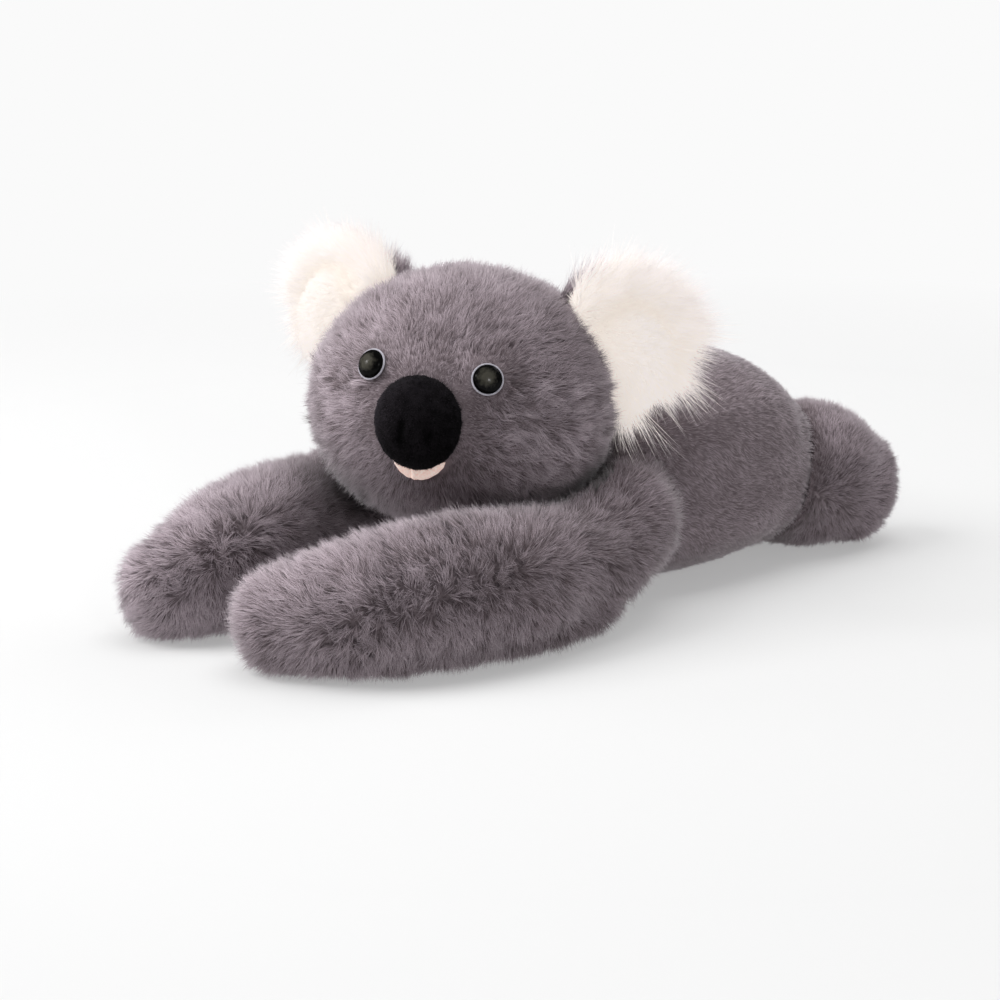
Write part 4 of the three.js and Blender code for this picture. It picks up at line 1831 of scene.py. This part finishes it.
@dataclass
class Studio:
    """A pale floor and soft light."""

    view: Viewpoint
    floor_size: float = 8.0
    fade_from: float = 0.3
    fade_gain: float = 2.2
    least_fade: float = 0.35
    light: float = 0.4
    lamps: Sequence[Lamp] = (
        Lamp("key", (-0.8, -1.15, 1.55), 1.5, 29.0, glint=False),
        Lamp("top", (0.0, 0.2, 2.2), 1.8, 23.0, glint=False),
        Lamp("side", (-0.95, -1.28, 0.88), 0.25, 2.5),
        Lamp("front", (1.6, -1.1, 0.85), 0.2, 3.4),
        Lamp("window", (-1.4, -1.0, 0.4), 0.8, 7.0, glint=False),
        Lamp("rim", (0.2, 1.5, 1.3), 1.0, 8.5),
    )

    def build(self) -> None:
        """Makes the camera, the floor, the world and the lamps."""
        scene = bpy.context.scene
        scene.view_settings.view_transform = "Standard"
        self.view.add()
        self._floor()
        self._world(scene)
        for lamp in self.lamps:
            lamp.add()

    def _floor(self) -> None:
        """The pale floor, which keeps soft shadows and fades to white."""
        deselect()
        bpy.ops.mesh.primitive_plane_add(size=self.floor_size, location=(0, 0, 0))
        floor = bpy.context.object
        floor.name = "floor"
        graph = Graph("floor_white")
        plain = graph.shaded(Base_Color=FLOOR, Roughness=0.9, Specular_IOR_Level=0.0)
        glow = graph.node("ShaderNodeEmission", {}, {"Color": BACKDROP, "Strength": 1.0})
        gap = graph.vector("LENGTH", graph.place(), output="Value")
        fade = ((gap - self.fade_from) * self.fade_gain).held(self.least_fade, 1.0)
        surface = graph.node("ShaderNodeMixShader", {}, {0: fade, 1: plain, 2: glow})
        graph.end("ShaderNodeOutputMaterial", surface)
        floor.data.materials.append(graph.material)

    def _world(self, scene: bpy.types.Scene) -> None:
        """A white background for the camera, and an even light for the object."""
        world = bpy.data.worlds.new("studio")
        scene.world = world
        tree = Tree(world)
        camera = tree.node("ShaderNodeLightPath", {}, {}, "Is Camera Ray")
        light = tree.node("ShaderNodeBackground", {}, {"Strength": self.light})
        seen = tree.node("ShaderNodeBackground", {}, {"Color": BACKDROP})
        surface = tree.node("ShaderNodeMixShader", {}, {0: camera, 1: light, 2: seen})
        tree.end("ShaderNodeOutputWorld", surface)


@dataclass
class Koala:
    """The whole toy."""

    workshop: Workshop
    arm_coat: Coat = Coat(
        100000, 8.8 * MM, 0.38 * MM, (37.0, 50.0), gather=0.18, swirl=30.0,
        swirl_size=17 * MM, stray=16.0, scatter=0.3, tone=0.4, tone_clump=0.13,
        tone_strand=0.23, softness=0.74,
    )
    leg_coat: Coat = Coat(
        43000, 6.2 * MM, 0.42 * MM, (48.0, 56.0), gather=0.1, swirl=22.0, scatter=0.24,
        tone=0.43, tone_clump=0.03, tone_strand=0.05, softness=0.88,
    )
    near_arm_parting: Sequence[tuple[float, float]] = (
        (341, 646), (378, 629), (411, 612), (454, 600), (520, 570)
    )
    # A spot's last number darkens it, a painted shade where the head shades the arm.
    near_arm_spots: Sequence[Spot] = (
        Spot(648, 590, 4.6 * MM, 30 * MM),
        Spot(604, 612, 5.0 * MM, 20 * MM),
        Spot(626, 502, 4.6 * MM, 20 * MM, 0.16),
        Spot(490, 532, 0.0, 22 * MM, 0.3),
    )
    far_arm_parting: Sequence[tuple[float, float]] = ((215, 545), (252, 530))
    leg_dimple: Sequence[tuple[float, float]] = ((836, 525), (834, 516))

    def _limb(self, kind: str, joint: str, side: Side, seed: int, **settings: Any) -> Limb:
        """Sets one limb out.

        Args:
            kind: Whether it is an arm or a leg.
            joint: What its joint is called.
            side: Its side.
            seed: The seed of its pile.
            **settings: Its other fields.

        Returns:
            The limb, not yet built.
        """
        root = np.array(self.workshop.pivot(f"{joint}_{side.word}_swing")[:])
        return Limb(self.workshop, f"{kind}_{side.word}", seed, root=root, **settings)

    def build(self) -> None:
        """Makes every piece in order."""
        grey, white = GREY_FUR.material(), WHITE_FUR.material()
        shop = self.workshop
        Torso(shop).build(grey)
        for side in Side:
            self._limb(
                "arm", "shoulder", side, side.pick(401, 431), coat=self.arm_coat,
                pixels=side.pick(self.near_arm_parting, self.far_arm_parting),
                pile=5.4 * MM, dent=0.4 * MM, dent_width=8 * MM,
                spots=side.pick(self.near_arm_spots, ()),
                # The arms' pale settings paint light: paler at the paw and low down.
                pale=side.pick(0.3, 0.6), low_pale=side.pick(0.0, 0.55),
            ).build(grey)
        pattern = None
        for side in Side:
            leg = self._limb(
                "leg", "hip", side, side.pick(503, 541), coat=self.leg_coat,
                pixels=self.leg_dimple, pile=4.3 * MM, dent=4.2 * MM, dent_width=7 * MM,
                # The leg's dark and shade settings paint shade in its dimple and beside the torso.
                dark=0.2, swell=3.4 * MM, shade=0.4,
            )
            pattern = leg.build(grey, pattern)
        axes = HeadAxes.read(shop)
        Head(shop, axes).build(grey)
        for side in Side:
            Ear(shop, axes, side, side.pick(601, 641)).build(white, grey)
            Eye(shop, side).build()
        Nose(shop, axes).build()
        Mouth(shop, axes).build()
        self._dress_washers()

    def _dress_washers(self) -> None:
        """Gives the washers, which stay as packed, their own finish."""
        washer = WASHER_PLASTIC.material()
        for side in Side:
            mesh = self.workshop.frame["nodes"][f"eye_washer_{side.word}"].data
            mesh.materials.clear()
            mesh.materials.append(washer)


def main() -> None:
    """Loads the frame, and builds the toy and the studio."""
    logging.basicConfig(level=logging.INFO, format="%(name)s: %(message)s")
    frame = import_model()
    view = Viewpoint()
    Koala(Workshop(frame, view)).build()
    Studio(view).build()
    bpy.context.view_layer.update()


if __name__ == "__main__":
    main()
